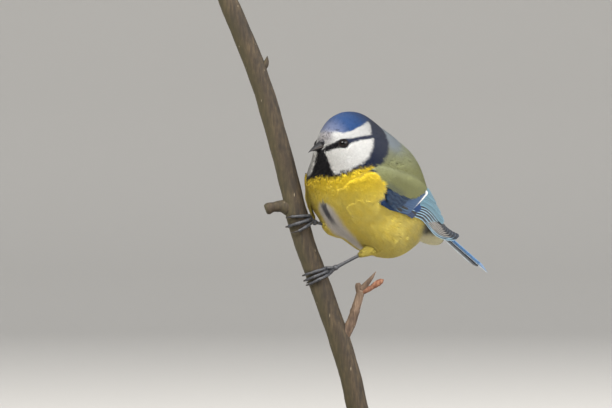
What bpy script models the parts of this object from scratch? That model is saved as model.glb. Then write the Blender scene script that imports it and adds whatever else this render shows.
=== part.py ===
"""A life-size blue tit that grips a cut length of a leaning twig, on a plain display stand.

The whole plumage is one smooth form, a blend of ellipsoids written as a distance function. Head, neck
and torso are cut from that form by two thin parting planes. Wings lie on the form as plates of
overlapping vanes, and the tail, bill, eyes, legs and claws grow from it with a gap of 0.3 mm.
The front view, along +Y, is the view in which the bird faces left. +Z is up, and the origin is the
middle of the stand's underside. Shape functions work in millimetres and meshes are in metres.
"""

import math

import bmesh
import bpy
import numpy as np
from mathutils import Matrix, Vector

MM = 0.001
GAP = 0.3

# Pose of the bird: headings turn from facing left towards the viewer.
BODY_CENTRE = np.array([8.6, 0.0, 112.4])
BODY_YAW = 41.0
HEAD_YAW = 35.0
HEAD_PITCH = -12.0
HEAD_IN_BODY = np.array([9.8, 0.0, 20.5])

# Plumage of the body as ellipsoids: centre and radii along forward, left and up, then pitch in degrees.
BREAST = ((7.2, 0.0, 4.6), (18.0, 21.0, 19.5), 0.0)
BELLY = ((-8.0, 0.0, -5.5), (21.5, 20.5, 19.0), 28.0)
MANTLE = ((-7.4, 0.0, 7.6), (18.0, 17.5, 16.2), 38.0)
RUMP = ((-26.5, 0.0, -9.0), (18.5, 8.0, 6.3), 34.0)
NAPE = ((1.2, 0.0, 15.8), (13.5, 14.0, 13.5), 0.0)
THIGH_RADII = (5.0, 4.0, 4.0)

# Plumage of the head, in the head's own axes.
SKULL = ((-1.0, 0.0, 0.2), (13.2, 12.8, 13.6), 0.0)
FACE = ((4.0, 0.0, -2.4), (11.3, 11.2, 9.8), -12.0)

# Cuts through the neck, as distances from the body's middle along the way up the neck.
NECK_WAY = np.array([0.56, 0.0, 0.83])
NECK_LOW = 14.4
NECK_HIGH = 18.2

# Eye, bill and their seats, in the head's own axes.
EYE_AT = (8.8, 2.6)
EYE_RADIUS = 2.15
EYE_SINK = 1.15
LID_RADIUS = 1.95
LID_THICKNESS = 0.36
BILL_BASE = (11.0, 0.0, 2.9)
BILL_PITCH = -7.0
BILL_LENGTH = 9.2
BILL_WIDTH = 4.0
UPPER_DEPTH = 2.15
LOWER_DEPTH = 1.5

# Tail: its root in the body, its slope, and its twelve feathers laid like a roof.
TAIL_ROOT = np.array([-25.8, 0.0, -4.6])
TAIL_SLOPE = 32.6
TAIL_LENGTH = 49.0
TAIL_CUT = 15.5
TAIL_PAIRS = 6
TAIL_ROLL = 0.34
TAIL_ROOF_SLOPE = 0.18
VANE_THICKNESS = 0.55

# Folded wing: a flat chart from wrist to tip, raised on to the body.
WRIST = np.array([11.0, 20.5, 4.0])
WING_TIP = np.array([-43.5, 5.5, -16.4])
WING_LEAN = 35.0
WING_BED = ((-30.0, 0.0, -12.6), (22.0, 8.0, 8.6), 32.0)

# Branch: centre line in the plane of the picture, with its depth and its radius.
BRANCH_LINE = ((-49.5, 196.0), (-47.7, 192.0), (-36.7, 165.0), (-29.9, 144.0), (-22.3, 116.0),
               (-17.2, 95.2), (-9.6, 74.3), (0.0, 46.4), (4.8, 27.0), (6.1, 22.0))
BRANCH_DEPTH = -6.0
BRANCH_RADIUS = 4.45
BRANCH_TOP_RADIUS = 4.2

# Stand: a round base and one rod into the cut end of the branch.
BASE_RADIUS = 46.0
BASE_HEIGHT = 9.0
ROD_RADIUS = 1.6


def axes(yaw, pitch=0.0):
    """Rows are forward, left and up, for a heading turned by yaw from -X and raised by pitch."""
    a, p = math.radians(yaw), math.radians(pitch)
    forward = np.array([-math.cos(a) * math.cos(p), -math.sin(a) * math.cos(p), math.sin(p)])
    left = np.array([math.sin(a), -math.cos(a), 0.0])
    return np.array([forward, left, np.cross(forward, left)])


BODY_AXES = axes(BODY_YAW)
HEAD_AXES = axes(HEAD_YAW, HEAD_PITCH)
HEAD_CENTRE = BODY_CENTRE + HEAD_IN_BODY @ BODY_AXES


def from_body(points):
    return BODY_CENTRE + np.asarray(points, float) @ BODY_AXES


def to_body(points):
    return (np.asarray(points, float) - BODY_CENTRE) @ BODY_AXES.T


def from_head(points):
    return HEAD_CENTRE + np.asarray(points, float) @ HEAD_AXES


def ellipsoid(points, shape):
    """Near distance from points to an ellipsoid: centre, radii and pitch."""
    centre, radii, pitch = shape
    q = points - np.array(centre)
    a = math.radians(pitch)
    q = np.stack([q[:, 0] * math.cos(a) + q[:, 2] * math.sin(a), q[:, 1],
                  q[:, 2] * math.cos(a) - q[:, 0] * math.sin(a)], axis=1)
    radii = np.array(radii)
    near = np.linalg.norm(q / radii, axis=1)
    slope = np.linalg.norm(q / radii**2, axis=1)
    return near * (near - 1.0) / np.maximum(slope, 1e-9)


def blend(a, b, width):
    """The smaller of two distances, with the crease between them filled over a width."""
    share = np.clip(0.5 + 0.5 * (b - a) / width, 0.0, 1.0)
    return b * (1.0 - share) + a * share - width * share * (1.0 - share)


def torso_form(q):
    """Distance to the torso's plumage, for points in the body's axes."""
    d = blend(ellipsoid(q, BREAST), ellipsoid(q, BELLY), 8.0)
    d = blend(d, ellipsoid(q, MANTLE), 7.0)
    return blend(d, ellipsoid(q, RUMP), 7.0)


def plumage(points):
    """Distance to the whole plumage, for points in the part's frame, in millimetres."""
    q = to_body(points)
    h = (points - HEAD_CENTRE) @ HEAD_AXES.T
    head = blend(ellipsoid(h, SKULL), ellipsoid(h, FACE), 3.0)
    d = blend(torso_form(q), ellipsoid(q, NAPE), 5.0)
    for thigh in THIGHS:
        d = blend(d, ellipsoid(q, thigh), 3.0)
    return blend(d, head, 4.0)


def wing_bed(points):
    """Distance to the form that the folded wings lie on."""
    return blend(plumage(points), ellipsoid(to_body(points), WING_BED), 9.0)


def meet(form, start, direction, reach, steps=60):
    """Walks from start points, outside the form, along a direction to its surface."""
    start = np.atleast_2d(np.asarray(start, float))
    direction = np.asarray(direction, float)
    low, high = np.zeros(len(start)), np.full(len(start), float(reach))
    walked = np.zeros(len(start))
    for _ in range(steps):
        near = form(start + walked[:, None] * direction)
        walked = np.minimum(walked + np.maximum(near * 0.8, 0.0), high)
    low = np.maximum(walked - 0.5, 0.0)
    high = walked + 0.5
    for _ in range(20):
        middle = (low + high) / 2
        inside = form(start + middle[:, None] * direction) < 0
        high = np.where(inside, middle, high)
        low = np.where(inside, low, middle)
    return start + ((low + high) / 2)[:, None] * direction


def normals_at(form, points):
    step = 0.05
    slope = np.stack([form(points + e * step) - form(points - e * step) for e in np.eye(3)], axis=1)
    return slope / np.linalg.norm(slope, axis=1)[:, None]


def metres(point):
    return Vector([float(x) * MM for x in point])


def matrix_of(columns, at):
    """A matrix in metres whose X, Y and Z axes are the given directions."""
    m = Matrix([[float(columns[j][i]) for j in range(3)] + [float(at[i]) * MM] for i in range(3)]
               + [[0, 0, 0, 1]])
    return m


def frame_along(direction, hint=(0.0, 0.0, 1.0)):
    """Three unit directions, the last along a direction."""
    z = np.asarray(direction, float) / np.linalg.norm(direction)
    x = np.cross(hint, z)
    if np.linalg.norm(x) < 1e-6:
        x = np.cross((1.0, 0.0, 0.0), z)
    x = x / np.linalg.norm(x)
    return np.array([x, np.cross(z, x), z])


# The scene, its collections and its materials

def clear_scene():
    for obj in list(bpy.data.objects):
        bpy.data.objects.remove(obj, do_unlink=True)


def collection(name):
    made = bpy.data.collections.new(name)
    bpy.context.scene.collection.children.link(made)
    return made


def material(name, colour, roughness, metallic=0.0):
    made = bpy.data.materials.new(name)
    made.use_nodes = True
    shader = made.node_tree.nodes["Principled BSDF"]
    shader.inputs["Base Color"].default_value = (*colour, 1.0)
    shader.inputs["Roughness"].default_value = roughness
    shader.inputs["Metallic"].default_value = metallic
    return made


def add(name, mesh, finish=None, smooth=True):
    """Links a mesh as a part, shaded smooth but for its sharp edges."""
    obj = bpy.data.objects.new(name, mesh)
    PARTS.objects.link(obj)
    if smooth:
        mesh.shade_smooth()
        mesh.set_sharp_from_angle(angle=math.radians(40))
    if finish is not None:
        mesh.materials.clear()
        mesh.materials.append(finish)
    return obj


def mesh_of(bm, name):
    mesh = bpy.data.meshes.new(name)
    bm.to_mesh(mesh)
    bm.free()
    return mesh


def evaluated(obj):
    """The object's mesh with its modifiers or its curve made real, in the part's frame."""
    bpy.context.view_layer.update()
    graph = bpy.context.evaluated_depsgraph_get()
    mesh = bpy.data.meshes.new_from_object(obj.evaluated_get(graph))
    mesh.transform(obj.matrix_world)
    return mesh


def remove(obj):
    bpy.data.objects.remove(obj, do_unlink=True)


def largest_body(mesh):
    """Keeps only the closed surface that holds the most."""
    bm = bmesh.new()
    bm.from_mesh(mesh)
    bmesh.ops.triangulate(bm, faces=bm.faces)
    bodies, seen = [], set()
    for first in bm.faces:
        if first in seen:
            continue
        body, front = [], [first]
        seen.add(first)
        while front:
            face = front.pop()
            body.append(face)
            for edge in face.edges:
                for other in edge.link_faces:
                    if other not in seen:
                        seen.add(other)
                        front.append(other)
        bodies.append(body)

    def volume(body):
        return sum(f.verts[0].co.dot(f.verts[1].co.cross(f.verts[2].co)) for f in body)

    bodies.sort(key=volume)
    spare = [face for body in bodies[:-1] for face in body]
    bmesh.ops.delete(bm, geom=spare, context="FACES")
    bm.to_mesh(mesh)
    bm.free()
    return mesh


def combine(base, others, operation, solver="EXACT"):
    """Applies one Boolean of a collection of closed meshes to a base, and removes them."""
    tools = collection("tools")
    for obj in others:
        for home in list(obj.users_collection):
            home.objects.unlink(obj)
        tools.objects.link(obj)
        obj.display_type = "WIRE"
    change = base.modifiers.new("join", "BOOLEAN")
    change.operation = operation
    change.operand_type = "COLLECTION"
    change.collection = tools
    change.solver = solver
    made = evaluated(base)
    base.modifiers.clear()
    for obj in list(tools.objects):
        remove(obj)
    bpy.data.collections.remove(tools)
    base.matrix_world = Matrix.Identity(4)
    base.data = largest_body(made)
    return base


# Shape makers

def loft(rings, name="loft"):
    """A closed tube through rings of the same number of points, in millimetres, split alike on both faces."""
    bm = bmesh.new()
    rows = [[bm.verts.new(metres(p)) for p in ring] for ring in rings]
    count = len(rows[0])
    for a, b in zip(rows, rows[1:]):
        for i in range(count):
            j = (i + 1) % count
            if i < count // 2:
                bm.faces.new((a[i], a[j], b[j]))
                bm.faces.new((a[i], b[j], b[i]))
            else:
                bm.faces.new((a[i], a[j], b[i]))
                bm.faces.new((a[j], b[j], b[i]))
    bm.faces.new(list(reversed(rows[0])))
    bm.faces.new(rows[-1])
    bmesh.ops.recalc_face_normals(bm, faces=bm.faces)
    return mesh_of(bm, name)


def tube(name, points, radii, sides=2):
    """A round tube along points, as a bevelled curve made a mesh with welded caps. Sizes in millimetres."""
    curve = bpy.data.curves.new(name, "CURVE")
    curve.dimensions = "3D"
    curve.bevel_depth = MM
    curve.bevel_resolution = sides
    curve.use_fill_caps = True
    line = curve.splines.new("POLY")
    line.points.add(len(points) - 1)
    for dot, point, radius in zip(line.points, points, radii):
        dot.co = (*metres(point), 1.0)
        dot.radius = float(radius)
    obj = bpy.data.objects.new(name, curve)
    bpy.context.scene.collection.objects.link(obj)
    mesh = evaluated(obj)
    remove(obj)
    bm = bmesh.new()
    bm.from_mesh(mesh)
    bmesh.ops.remove_doubles(bm, verts=bm.verts, dist=0.001 * MM)
    bmesh.ops.recalc_face_normals(bm, faces=bm.faces)
    bm.to_mesh(mesh)
    bm.free()
    return mesh


def smooth_line(points, per_span=4):
    """Points on a Catmull-Rom curve through the given ones, in any number of dimensions."""
    p = np.asarray(points, float)
    p = np.vstack([2 * p[0] - p[1], p, 2 * p[-1] - p[-2]])
    line = []
    for i in range(1, len(p) - 2):
        for t in np.arange(per_span) / per_span:
            line.append(0.5 * (2 * p[i] + (p[i + 1] - p[i - 1]) * t
                               + (2 * p[i - 1] - 5 * p[i] + 4 * p[i + 1] - p[i + 2]) * t**2
                               + (3 * p[i] - p[i - 1] - 3 * p[i + 1] + p[i + 2]) * t**3))
    return np.array(line + [p[-2]])


def form_mesh(form, centre, pole, across, along):
    """A ball whose points are pushed out from a centre to the surface of a form."""
    bm = bmesh.new()
    bmesh.ops.create_uvsphere(bm, u_segments=across, v_segments=along, radius=1.0)
    turn = frame_along(pole)
    rays = np.array([v.co for v in bm.verts]) @ turn
    low, high = np.zeros(len(rays)), np.full(len(rays), 60.0)
    steps = np.linspace(2.0, 60.0, 117)
    inside = np.array([form(centre + rays * s) < 0 for s in steps])
    first_out = np.argmin(inside, axis=0)
    high = steps[first_out]
    low = np.where(first_out > 0, steps[np.maximum(first_out - 1, 0)], 0.0)
    for _ in range(24):
        middle = (low + high) / 2
        within = form(centre + rays * middle[:, None]) < 0
        low = np.where(within, middle, low)
        high = np.where(within, high, middle)
    for vert, point in zip(bm.verts, centre + rays * low[:, None]):
        vert.co = metres(point)
    return bm


def cut_flat(bm, point, normal):
    """Cuts away what lies beyond a plane, on the side of its normal, and closes the cut."""
    geometry = bm.verts[:] + bm.edges[:] + bm.faces[:]
    cut = bmesh.ops.bisect_plane(bm, geom=geometry, dist=0.001 * MM, plane_co=metres(point),
                                 plane_no=Vector(normal), clear_outer=True)
    rim = [e for e in cut["geom_cut"] if isinstance(e, bmesh.types.BMEdge)]
    bmesh.ops.edgeloop_fill(bm, edges=rim)
    bmesh.ops.recalc_face_normals(bm, faces=bm.faces)


def ball(radii, columns, at, segments=20):
    """An ellipsoid as a plain object, for cutting or joining."""
    bm = bmesh.new()
    bmesh.ops.create_uvsphere(bm, u_segments=segments, v_segments=segments // 2, radius=1.0)
    bmesh.ops.scale(bm, vec=[r * MM for r in radii], verts=bm.verts)
    bmesh.ops.transform(bm, matrix=matrix_of(columns, at), verts=bm.verts)
    return add("ball", mesh_of(bm, "ball"))


def rod(radius, start, end, segments=20, name="rod"):
    """A round rod between two points, in millimetres."""
    start, end = np.asarray(start, float), np.asarray(end, float)
    bm = bmesh.new()
    length = np.linalg.norm(end - start)
    bmesh.ops.create_cone(bm, cap_ends=True, segments=segments, radius1=radius * MM,
                          radius2=radius * MM, depth=length * MM)
    bmesh.ops.transform(bm, matrix=matrix_of(frame_along(end - start), (start + end) / 2), verts=bm.verts)
    return add(name, mesh_of(bm, name))


# Legs: where each foot holds the branch, and where its shank leaves the belly

BRANCH_POINTS = smooth_line([(x, BRANCH_DEPTH, z) for x, z in BRANCH_LINE], 3)
FEET = {
    "left": {"height": 80.0, "joint": (-3.9, -9.0, 83.2), "heel": (8.4, -8.0, 89.6)},
    "right": {"height": 101.6, "joint": (-12.4, -6.0, 101.6), "heel": (3.0, 0.0, 98.6)},
}
SHANK_RADIUS = 0.72
TOE_RADIUS = 0.68
CLAW_LENGTH = 4.2
# Each toe: start and end angle round the branch from its right side, shift along it at start and end, thickness.
TOES = {
    "left": ((25, 140, 1.4, 1.9, 0.95), (18, 150, 0.1, -0.3, 1.0), (25, 138, -1.3, -2.3, 0.95),
             (-25, -112, -1.2, -1.6, 1.08)),
    "right": ((22, 118, 1.5, 3.0, 0.95), (16, 148, 0.2, -0.6, 1.0), (20, 100, -1.2, -3.4, 0.95),
              (-25, -112, -0.6, -1.0, 1.08)),
}


def branch_at(height):
    """Centre, direction and cross directions of the branch at a height."""
    z = BRANCH_POINTS[:, 2]
    i = int(np.argmin(np.abs(z - height)))
    i = min(max(i, 1), len(z) - 2)
    down = BRANCH_POINTS[i + 1] - BRANCH_POINTS[i - 1]
    down = down / np.linalg.norm(down)
    x = np.interp(height, z[::-1], BRANCH_POINTS[::-1, 0])
    right = np.cross(np.array([0.0, -1.0, 0.0]), down)
    return np.array([x, BRANCH_DEPTH, height]), down, right / np.linalg.norm(right)


def branch_radius(height):
    return float(np.interp(height, (22.0, 196.0), (BRANCH_RADIUS + 0.1, BRANCH_TOP_RADIUS)))


def round_branch(side, angle, shift, clear):
    """A point beside the branch: angle from its right side towards the viewer, shift up along it."""
    centre, down, right = branch_at(FEET[side]["height"])
    a = math.radians(angle)
    reach = branch_radius(centre[2]) + clear
    front = np.array([0.0, -1.0, 0.0])
    return centre - down * shift + (right * math.cos(a) + front * math.sin(a)) * reach


def shank_root(side):
    """Where a shank's top end sits, 0.6 mm inside the belly on the line to the heel."""
    joint, heel = (np.array(FEET[side][k]) for k in ("joint", "heel"))
    way = (heel - joint) / np.linalg.norm(heel - joint)
    skin = meet(lambda p: torso_form(to_body(p)), joint, way, 40.0)[0]
    return skin + way * 0.3, way


def thigh_of(side):
    root, way = shank_root(side)
    return tuple(to_body([root + way * 3.2])[0]), THIGH_RADII, 20.0


THIGHS = ()
THIGHS = tuple(thigh_of(side) for side in FEET)


def toe_line(side, toe):
    """Centre line and radii of one toe, from the foot's joint round the branch."""
    start, end, shift_in, shift_out, size = TOES[side][toe]
    clear = TOE_RADIUS * size + GAP
    angles = np.linspace(start, end, 7)
    shifts = np.linspace(shift_in, shift_out, 7)
    wrap = [round_branch(side, a, s, clear) for a, s in zip(angles, shifts)]
    joint = np.array(FEET[side]["joint"])
    lead = joint * 0.5 + wrap[0] * 0.5
    line = smooth_line([joint, lead, *wrap], 1)
    share = np.linspace(0.0, 1.0, len(line))
    pads = 1.0 + 0.1 * np.cos(share * 3 * 2 * math.pi)
    return line, TOE_RADIUS * size * pads * (1.0 - 0.28 * share)


def make_leg(side):
    joint = np.array(FEET[side]["joint"])
    root, way = shank_root(side)
    line = np.array([joint + (root - joint) * t for t in np.linspace(0.03, 1.0, 7)])
    swell = np.array([1.25, 1.02, 0.92, 0.9, 0.92, 1.0, 1.1])
    shank = add("shank_" + side, tube("shank", line, SHANK_RADIUS * swell, 3), HORN)
    pieces = []
    for toe in range(len(TOES[side])):
        points, radii = toe_line(side, toe)
        pieces.append(add("toe", tube("toe", points, radii, 2)))
    knuckle = ball((1.35, 1.25, 1.5), frame_along(way), joint, 14)
    foot = add("foot_" + side, knuckle.data, HORN)
    remove(knuckle)
    combine(foot, pieces, "UNION")
    near, far = joint + way * 1.0, joint + way * 6.0
    trim = rod(3.0, near, far)
    combine(foot, [trim], "DIFFERENCE")
    trim = rod(3.0, near + way * GAP - way * 8.0, near + way * GAP)
    combine(shank, [trim], "DIFFERENCE")
    for obj in (foot, shank):
        obj.data.materials.clear()
        obj.data.materials.append(HORN)
    for toe in range(len(TOES[side])):
        make_claw(side, toe)
    return root, way


def make_claw(side, toe):
    start, end, _, shift_out, size = TOES[side][toe]
    base = TOE_RADIUS * size * 0.7
    turn = math.copysign(1.0, end - start)
    length = CLAW_LENGTH * (1.25 if toe == 3 else 1.0)
    reach = branch_radius(FEET[side]["height"]) + base
    sweep = math.degrees(length / reach)
    first = end + turn * math.degrees(GAP / reach)
    points, radii = [], []
    for t in np.linspace(0.0, 1.0, 5):
        lift = base + GAP + 0.55 * math.sin(math.pi * min(t * 1.15, 1.0)) - 0.42 * base * t
        points.append(round_branch(side, first + turn * sweep * t, shift_out, lift + 0.12))
        radii.append(base * (1.0 - t) ** 0.8 + 0.12)
    add(f"claw_{side}_{toe + 1}", tube("claw", points, radii, 2), CLAW)


# Head, neck and torso

def neck_plane(distance):
    way = NECK_WAY / np.linalg.norm(NECK_WAY) @ BODY_AXES
    return BODY_CENTRE + way * distance, way


def tail_direction():
    a = math.radians(TAIL_SLOPE)
    return np.array([-math.cos(a), 0.0, -math.sin(a)])


def make_torso(shanks):
    centre = from_body([(-5.0, 0.0, 0.5)])[0]
    end = from_body([TAIL_ROOT + tail_direction() * TAIL_CUT])[0]
    bm = form_mesh(plumage, centre, centre - end, 42, 30)
    point, way = neck_plane(NECK_LOW)
    cut_flat(bm, point, way)
    cut_flat(bm, end, tail_direction() @ BODY_AXES)
    torso = add("torso", mesh_of(bm, "torso"), YELLOW)
    seats = [rod(SHANK_RADIUS * 1.1 + 0.4, root + way * GAP, root - way * 9.0) for root, way in shanks]
    combine(torso, seats, "DIFFERENCE")
    torso.data.materials.clear()
    torso.data.materials.append(YELLOW)


def make_neck():
    middle, way = neck_plane((NECK_LOW + NECK_HIGH) / 2)
    bm = form_mesh(plumage, middle, way, 40, 36)
    for distance, outward in ((NECK_LOW + GAP, -1.0), (NECK_HIGH - GAP, 1.0)):
        point, way = neck_plane(distance)
        cut_flat(bm, point, way * outward)
    add("neck", mesh_of(bm, "neck"), NAVY)


def eye_seat(side):
    """Middle of an eye ball and the outward direction there. Side is 1 on the left and -1 on the right."""
    forward, up = EYE_AT
    start = from_head([(forward, 25.0 * side, up)])
    skin = meet(plumage, start, HEAD_AXES[1] * -side, 30.0)[0]
    out = normals_at(plumage, skin[None])[0]
    return skin - out * EYE_SINK, out


def make_head():
    bm = form_mesh(plumage, HEAD_CENTRE, HEAD_AXES[0], 38, 26)
    point, way = neck_plane(NECK_HIGH)
    cut_flat(bm, point, -way)
    head = add("head", mesh_of(bm, "head"), NAVY)
    lids = []
    for side in (1, -1):
        seat, out = eye_seat(side)
        lids.append(make_lid(seat + out * (EYE_SINK + 0.05), out))
    combine(head, lids, "UNION")
    sockets = []
    for side, word in ((1, "left"), (-1, "right")):
        seat, out = eye_seat(side)
        columns = frame_along(out)
        sockets.append(ball([EYE_RADIUS + GAP] * 3, columns, seat, 18))
        eye = ball([EYE_RADIUS] * 3, columns, seat, 18)
        eye.name = "eye_" + word
        eye.data.materials.append(EYE)
    seats = [add("seat", loft(mandible_rings(upper, GAP), "seat")) for upper in (True, False)]
    combine(head, [*sockets, *seats], "DIFFERENCE")
    head.data.materials.clear()
    head.data.materials.append(NAVY)


def make_lid(at, out):
    """A thin ring of skin round the eye."""
    columns = frame_along(out)
    rings = []
    for a in np.linspace(0.0, 2 * math.pi, 19)[:-1]:
        spoke = columns[0] * math.cos(a) + columns[1] * math.sin(a) * 0.92
        rings.append([at + spoke * (LID_RADIUS + LID_THICKNESS * math.cos(b)) + out * LID_THICKNESS * math.sin(b)
                      for b in np.linspace(0.0, 2 * math.pi, 7)[:-1]])
    bm = bmesh.new()
    rows = [[bm.verts.new(metres(p)) for p in ring] for ring in rings]
    for a, b in zip(rows, rows[1:] + rows[:1]):
        for i in range(6):
            bm.faces.new((a[i], a[(i + 1) % 6], b[(i + 1) % 6], b[i]))
    bmesh.ops.recalc_face_normals(bm, faces=bm.faces)
    return add("lid", mesh_of(bm, "lid"))


def bill_axes():
    """Forward, left and up of the bill, in the part's frame."""
    a = math.radians(BILL_PITCH)
    forward = np.array([math.cos(a), 0.0, math.sin(a)])
    up = np.array([-math.sin(a), 0.0, math.cos(a)])
    return np.array([forward, (0.0, 1.0, 0.0), up]) @ HEAD_AXES


def mandible_rings(upper, grow=0.0):
    """Rings of one mandible from its base to its tip, made wider and deeper all round by grow."""
    sign, depth, length = (1.0, UPPER_DEPTH, BILL_LENGTH) if upper else (-1.0, LOWER_DEPTH, BILL_LENGTH * 0.93)
    turn = bill_axes()
    base = from_head([BILL_BASE])[0]
    rings = []
    for t in np.linspace(0.0, 1.0, 9):
        along = t * length - (grow if t == 0.0 else 0.0)
        width = BILL_WIDTH / 2 * (1.0 - t) ** 0.85 + 0.16 + grow
        height = depth * ((1.0 - t**1.6) * 0.94 + 0.06) + grow * 1.5
        droop = -0.75 * t**2.2 if upper else -0.25 * t**2
        seam = (GAP / 2 - grow) * sign + droop
        ring = [(along, width, seam), (along, width * 0.93, seam + sign * height * 0.38),
                (along, width * 0.6, seam + sign * height * 0.8), (along, 0.0, seam + sign * height),
                (along, -width * 0.6, seam + sign * height * 0.8),
                (along, -width * 0.93, seam + sign * height * 0.38), (along, -width, seam),
                (along, 0.0, seam + sign * 0.04)]
        rings.append([base + np.array(p) @ turn for p in ring])
    return rings


def make_bill():
    """Two mandibles with the line of the mouth between them. The upper one has nostrils and a curved ridge."""
    turn = bill_axes()
    base = from_head([BILL_BASE])[0]
    upper = add("bill_upper", loft(mandible_rings(True), "bill_upper"), BILL)
    add("bill_lower", loft(mandible_rings(False), "bill_lower"), BILL)
    nostrils = [ball((0.55, 0.5, 0.3), turn, base + np.array((3.1, 1.55 * s, 1.05)) @ turn, 12)
                for s in (1.0, -1.0)]
    combine(upper, nostrils, "DIFFERENCE")
    upper.data.materials.clear()
    upper.data.materials.append(BILL)


# Tail and wings

def vane(name, rows):
    """One flat feather as a closed blade: each row holds its two edges, above and below."""
    return add(name, loft(rows, name))


def make_tail():
    """Twelve tail feathers laid like a roof, the middle pair on top, joined at a short root."""
    way = tail_direction()
    up = np.array([way[2], 0.0, -way[0]])
    across = np.array([0.0, 1.0, 0.0])
    start = TAIL_CUT + GAP
    pieces = []
    for side in (1.0, -1.0):
        for pair in range(TAIL_PAIRS):
            tip = TAIL_LENGTH - 2.2 + 0.45 * pair - (1.6 if pair == TAIL_PAIRS - 1 else 0.0)
            rows = []
            for t in (0.0, 0.45, 0.93, 1.0):
                d = start + 0.05 + (tip - start) * t
                middle = 1.1 + pair * (0.36 + 0.4 * t)
                half = (1.6 + 0.7 * t) * (1.0 if t < 0.9 else (0.78 if t < 1.0 else 0.22))
                points = []
                for lift in (VANE_THICKNESS, 0.0):
                    points.append([way * d + across * side * c
                                   + up * (1.0 + lift - 0.4 * pair - abs(c) * TAIL_ROOF_SLOPE
                                           - side * c * TAIL_ROLL)
                                   for c in (middle - half, middle + half)])
                rows.append([TAIL_ROOT + p for p in points[0] + points[1][::-1]])
            rows = [list(from_body(row)) for row in rows]
            pieces.append(vane("quill", rows))
    root_rows = []
    for d, size in ((start, 1.0), (start + 4.0, 0.92), (start + 8.0, 0.6)):
        ring = [TAIL_ROOT + way * d + across * math.cos(a) * 4.3 * size
                + up * (math.sin(a) * 2.1 * size - 0.7)
                for a in np.linspace(0.0, 2 * math.pi, 17)[:-1]]
        root_rows.append(list(from_body(ring)))
    tail = add("tail", loft(root_rows, "tail"), BLUE)
    combine(tail, pieces, "UNION", "MANIFOLD")
    tail.data.materials.clear()
    tail.data.materials.append(BLUE)


ALONG = (WING_TIP - WRIST) / np.linalg.norm(WING_TIP - WRIST)
WING_LENGTH = float(np.linalg.norm(WING_TIP - WRIST))


def wing_axes():
    lean = math.radians(WING_LEAN)
    out = np.array([-0.5 * math.sin(lean), math.cos(lean), 0.85 * math.sin(lean)])
    out = out - ALONG * (out @ ALONG)
    out = out / np.linalg.norm(out)
    across = np.cross(out, ALONG)
    return out, across if across[2] > 0 else -across


WING_OUT, WING_ACROSS = wing_axes()


def on_wing(chart, lift):
    """Points over the wing's bed, in the body's axes: chart holds distances along and across the wing."""
    chart = np.asarray(chart, float)
    start = WRIST + chart[:, :1] * ALONG + chart[:, 1:2] * WING_ACROSS + WING_OUT * 22.0
    skin = meet(wing_bed, from_body(start), -WING_OUT @ BODY_AXES, 60.0)
    return to_body(skin + np.asarray(lift, float)[:, None] * normals_at(wing_bed, skin))


def wing_vane(root, tip, half, lift, thickness=VANE_THICKNESS, tilt=0.1, blunt=0.7, steps=(0.0, 0.5, 0.9, 1.0)):
    """One wing feather: root and tip on the chart, half its width, its height over the bed and its tilt."""
    root, tip = np.array(root, float), np.array(tip, float)
    way = (tip - root) / np.linalg.norm(tip - root)
    side = np.array([-way[1], way[0]])
    rows = []
    for t in steps:
        width = half * (1.0 if t < 0.85 else (blunt if t < 1.0 else 0.25))
        middle = root + (tip - root) * t
        chart = [middle - side * width, middle + side * width]
        shape = [lift + tilt * width, lift - tilt * width]
        top = on_wing(chart, [s + thickness for s in shape])
        under = on_wing(chart, shape)
        rows.append([*top, *under[::-1]])
    return rows


def wing_outline(s):
    """Lowest and highest place of the covered part of the wing, across the chart, at a distance along it."""
    low = np.interp(s, (1.0, 4.0, 9.0, 16.0, 24.0, 34.0), (-4.2, -5.4, -6.5, -7.2, -6.8, -4.8))
    high = np.interp(s, (1.0, 4.0, 10.0, 18.0, 26.0, 34.0), (-0.5, 2.0, 4.6, 6.4, 6.6, 4.8))
    return low, high


def wing_rows():
    """Every feather of one folded wing, tier by tier, from the flight feathers up to the small coverts."""
    tiers = []
    for i in range(7):
        t = i / 6
        tiers.append(wing_vane((27.0 + 2 * t, -5.2 + 2.2 * t), (WING_LENGTH - 13.0 * t, -1.9 + 1.3 * t),
                               1.5, 0.75 + 0.1 * i, tilt=0.16, blunt=0.6, steps=(0.0, 0.22, 0.55, 0.93, 1.0)))
    for i in range(4):
        t = i / 3
        tiers.append(wing_vane((22.0 + 2 * t, -4.6 + 3.2 * t), (43.5 - 2.0 * t, -0.4 + 2.2 * t),
                               1.8, 1.15 + 0.12 * i, tilt=0.16))
    for i, (root, tip, half) in enumerate((((21.0, -0.6), (48.5, 1.2), 2.3), ((21.0, 1.4), (43.0, 3.2), 2.5),
                                           ((21.5, 3.4), (36.5, 5.0), 2.4))):
        tiers.append(wing_vane(root, tip, half, 1.5 + 0.2 * i, tilt=0.12))
    for i in range(3):
        t = i / 2
        tiers.append(wing_vane((5.0 + 2 * t, -4.9 + 0.9 * t), (17.5 + 4.0 * t, -6.7 + 1.4 * t),
                               1.15, 1.3 + 0.2 * i, tilt=0.16, steps=(0.0, 0.8, 1.0)))
    for i in range(7):
        t = i / 6
        tiers.append(wing_vane((9.0 + 5 * t, -4.8 + 6.0 * t), (19.4 + 6.8 * t, -6.5 + 8.0 * t),
                               1.2 + 0.2 * t, 1.75 + 0.1 * i, tilt=0.16, steps=(0.0, 0.8, 1.0)))
    for i in range(5):
        t = i / 4
        tiers.append(wing_vane((4.5 + 4 * t, -3.6 + 5.2 * t), (12.6 + 5.4 * t, -5.6 + 7.0 * t),
                               1.35, 2.15 + 0.1 * i, tilt=0.14, steps=(0.0, 0.8, 1.0)))
    return tiers


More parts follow.
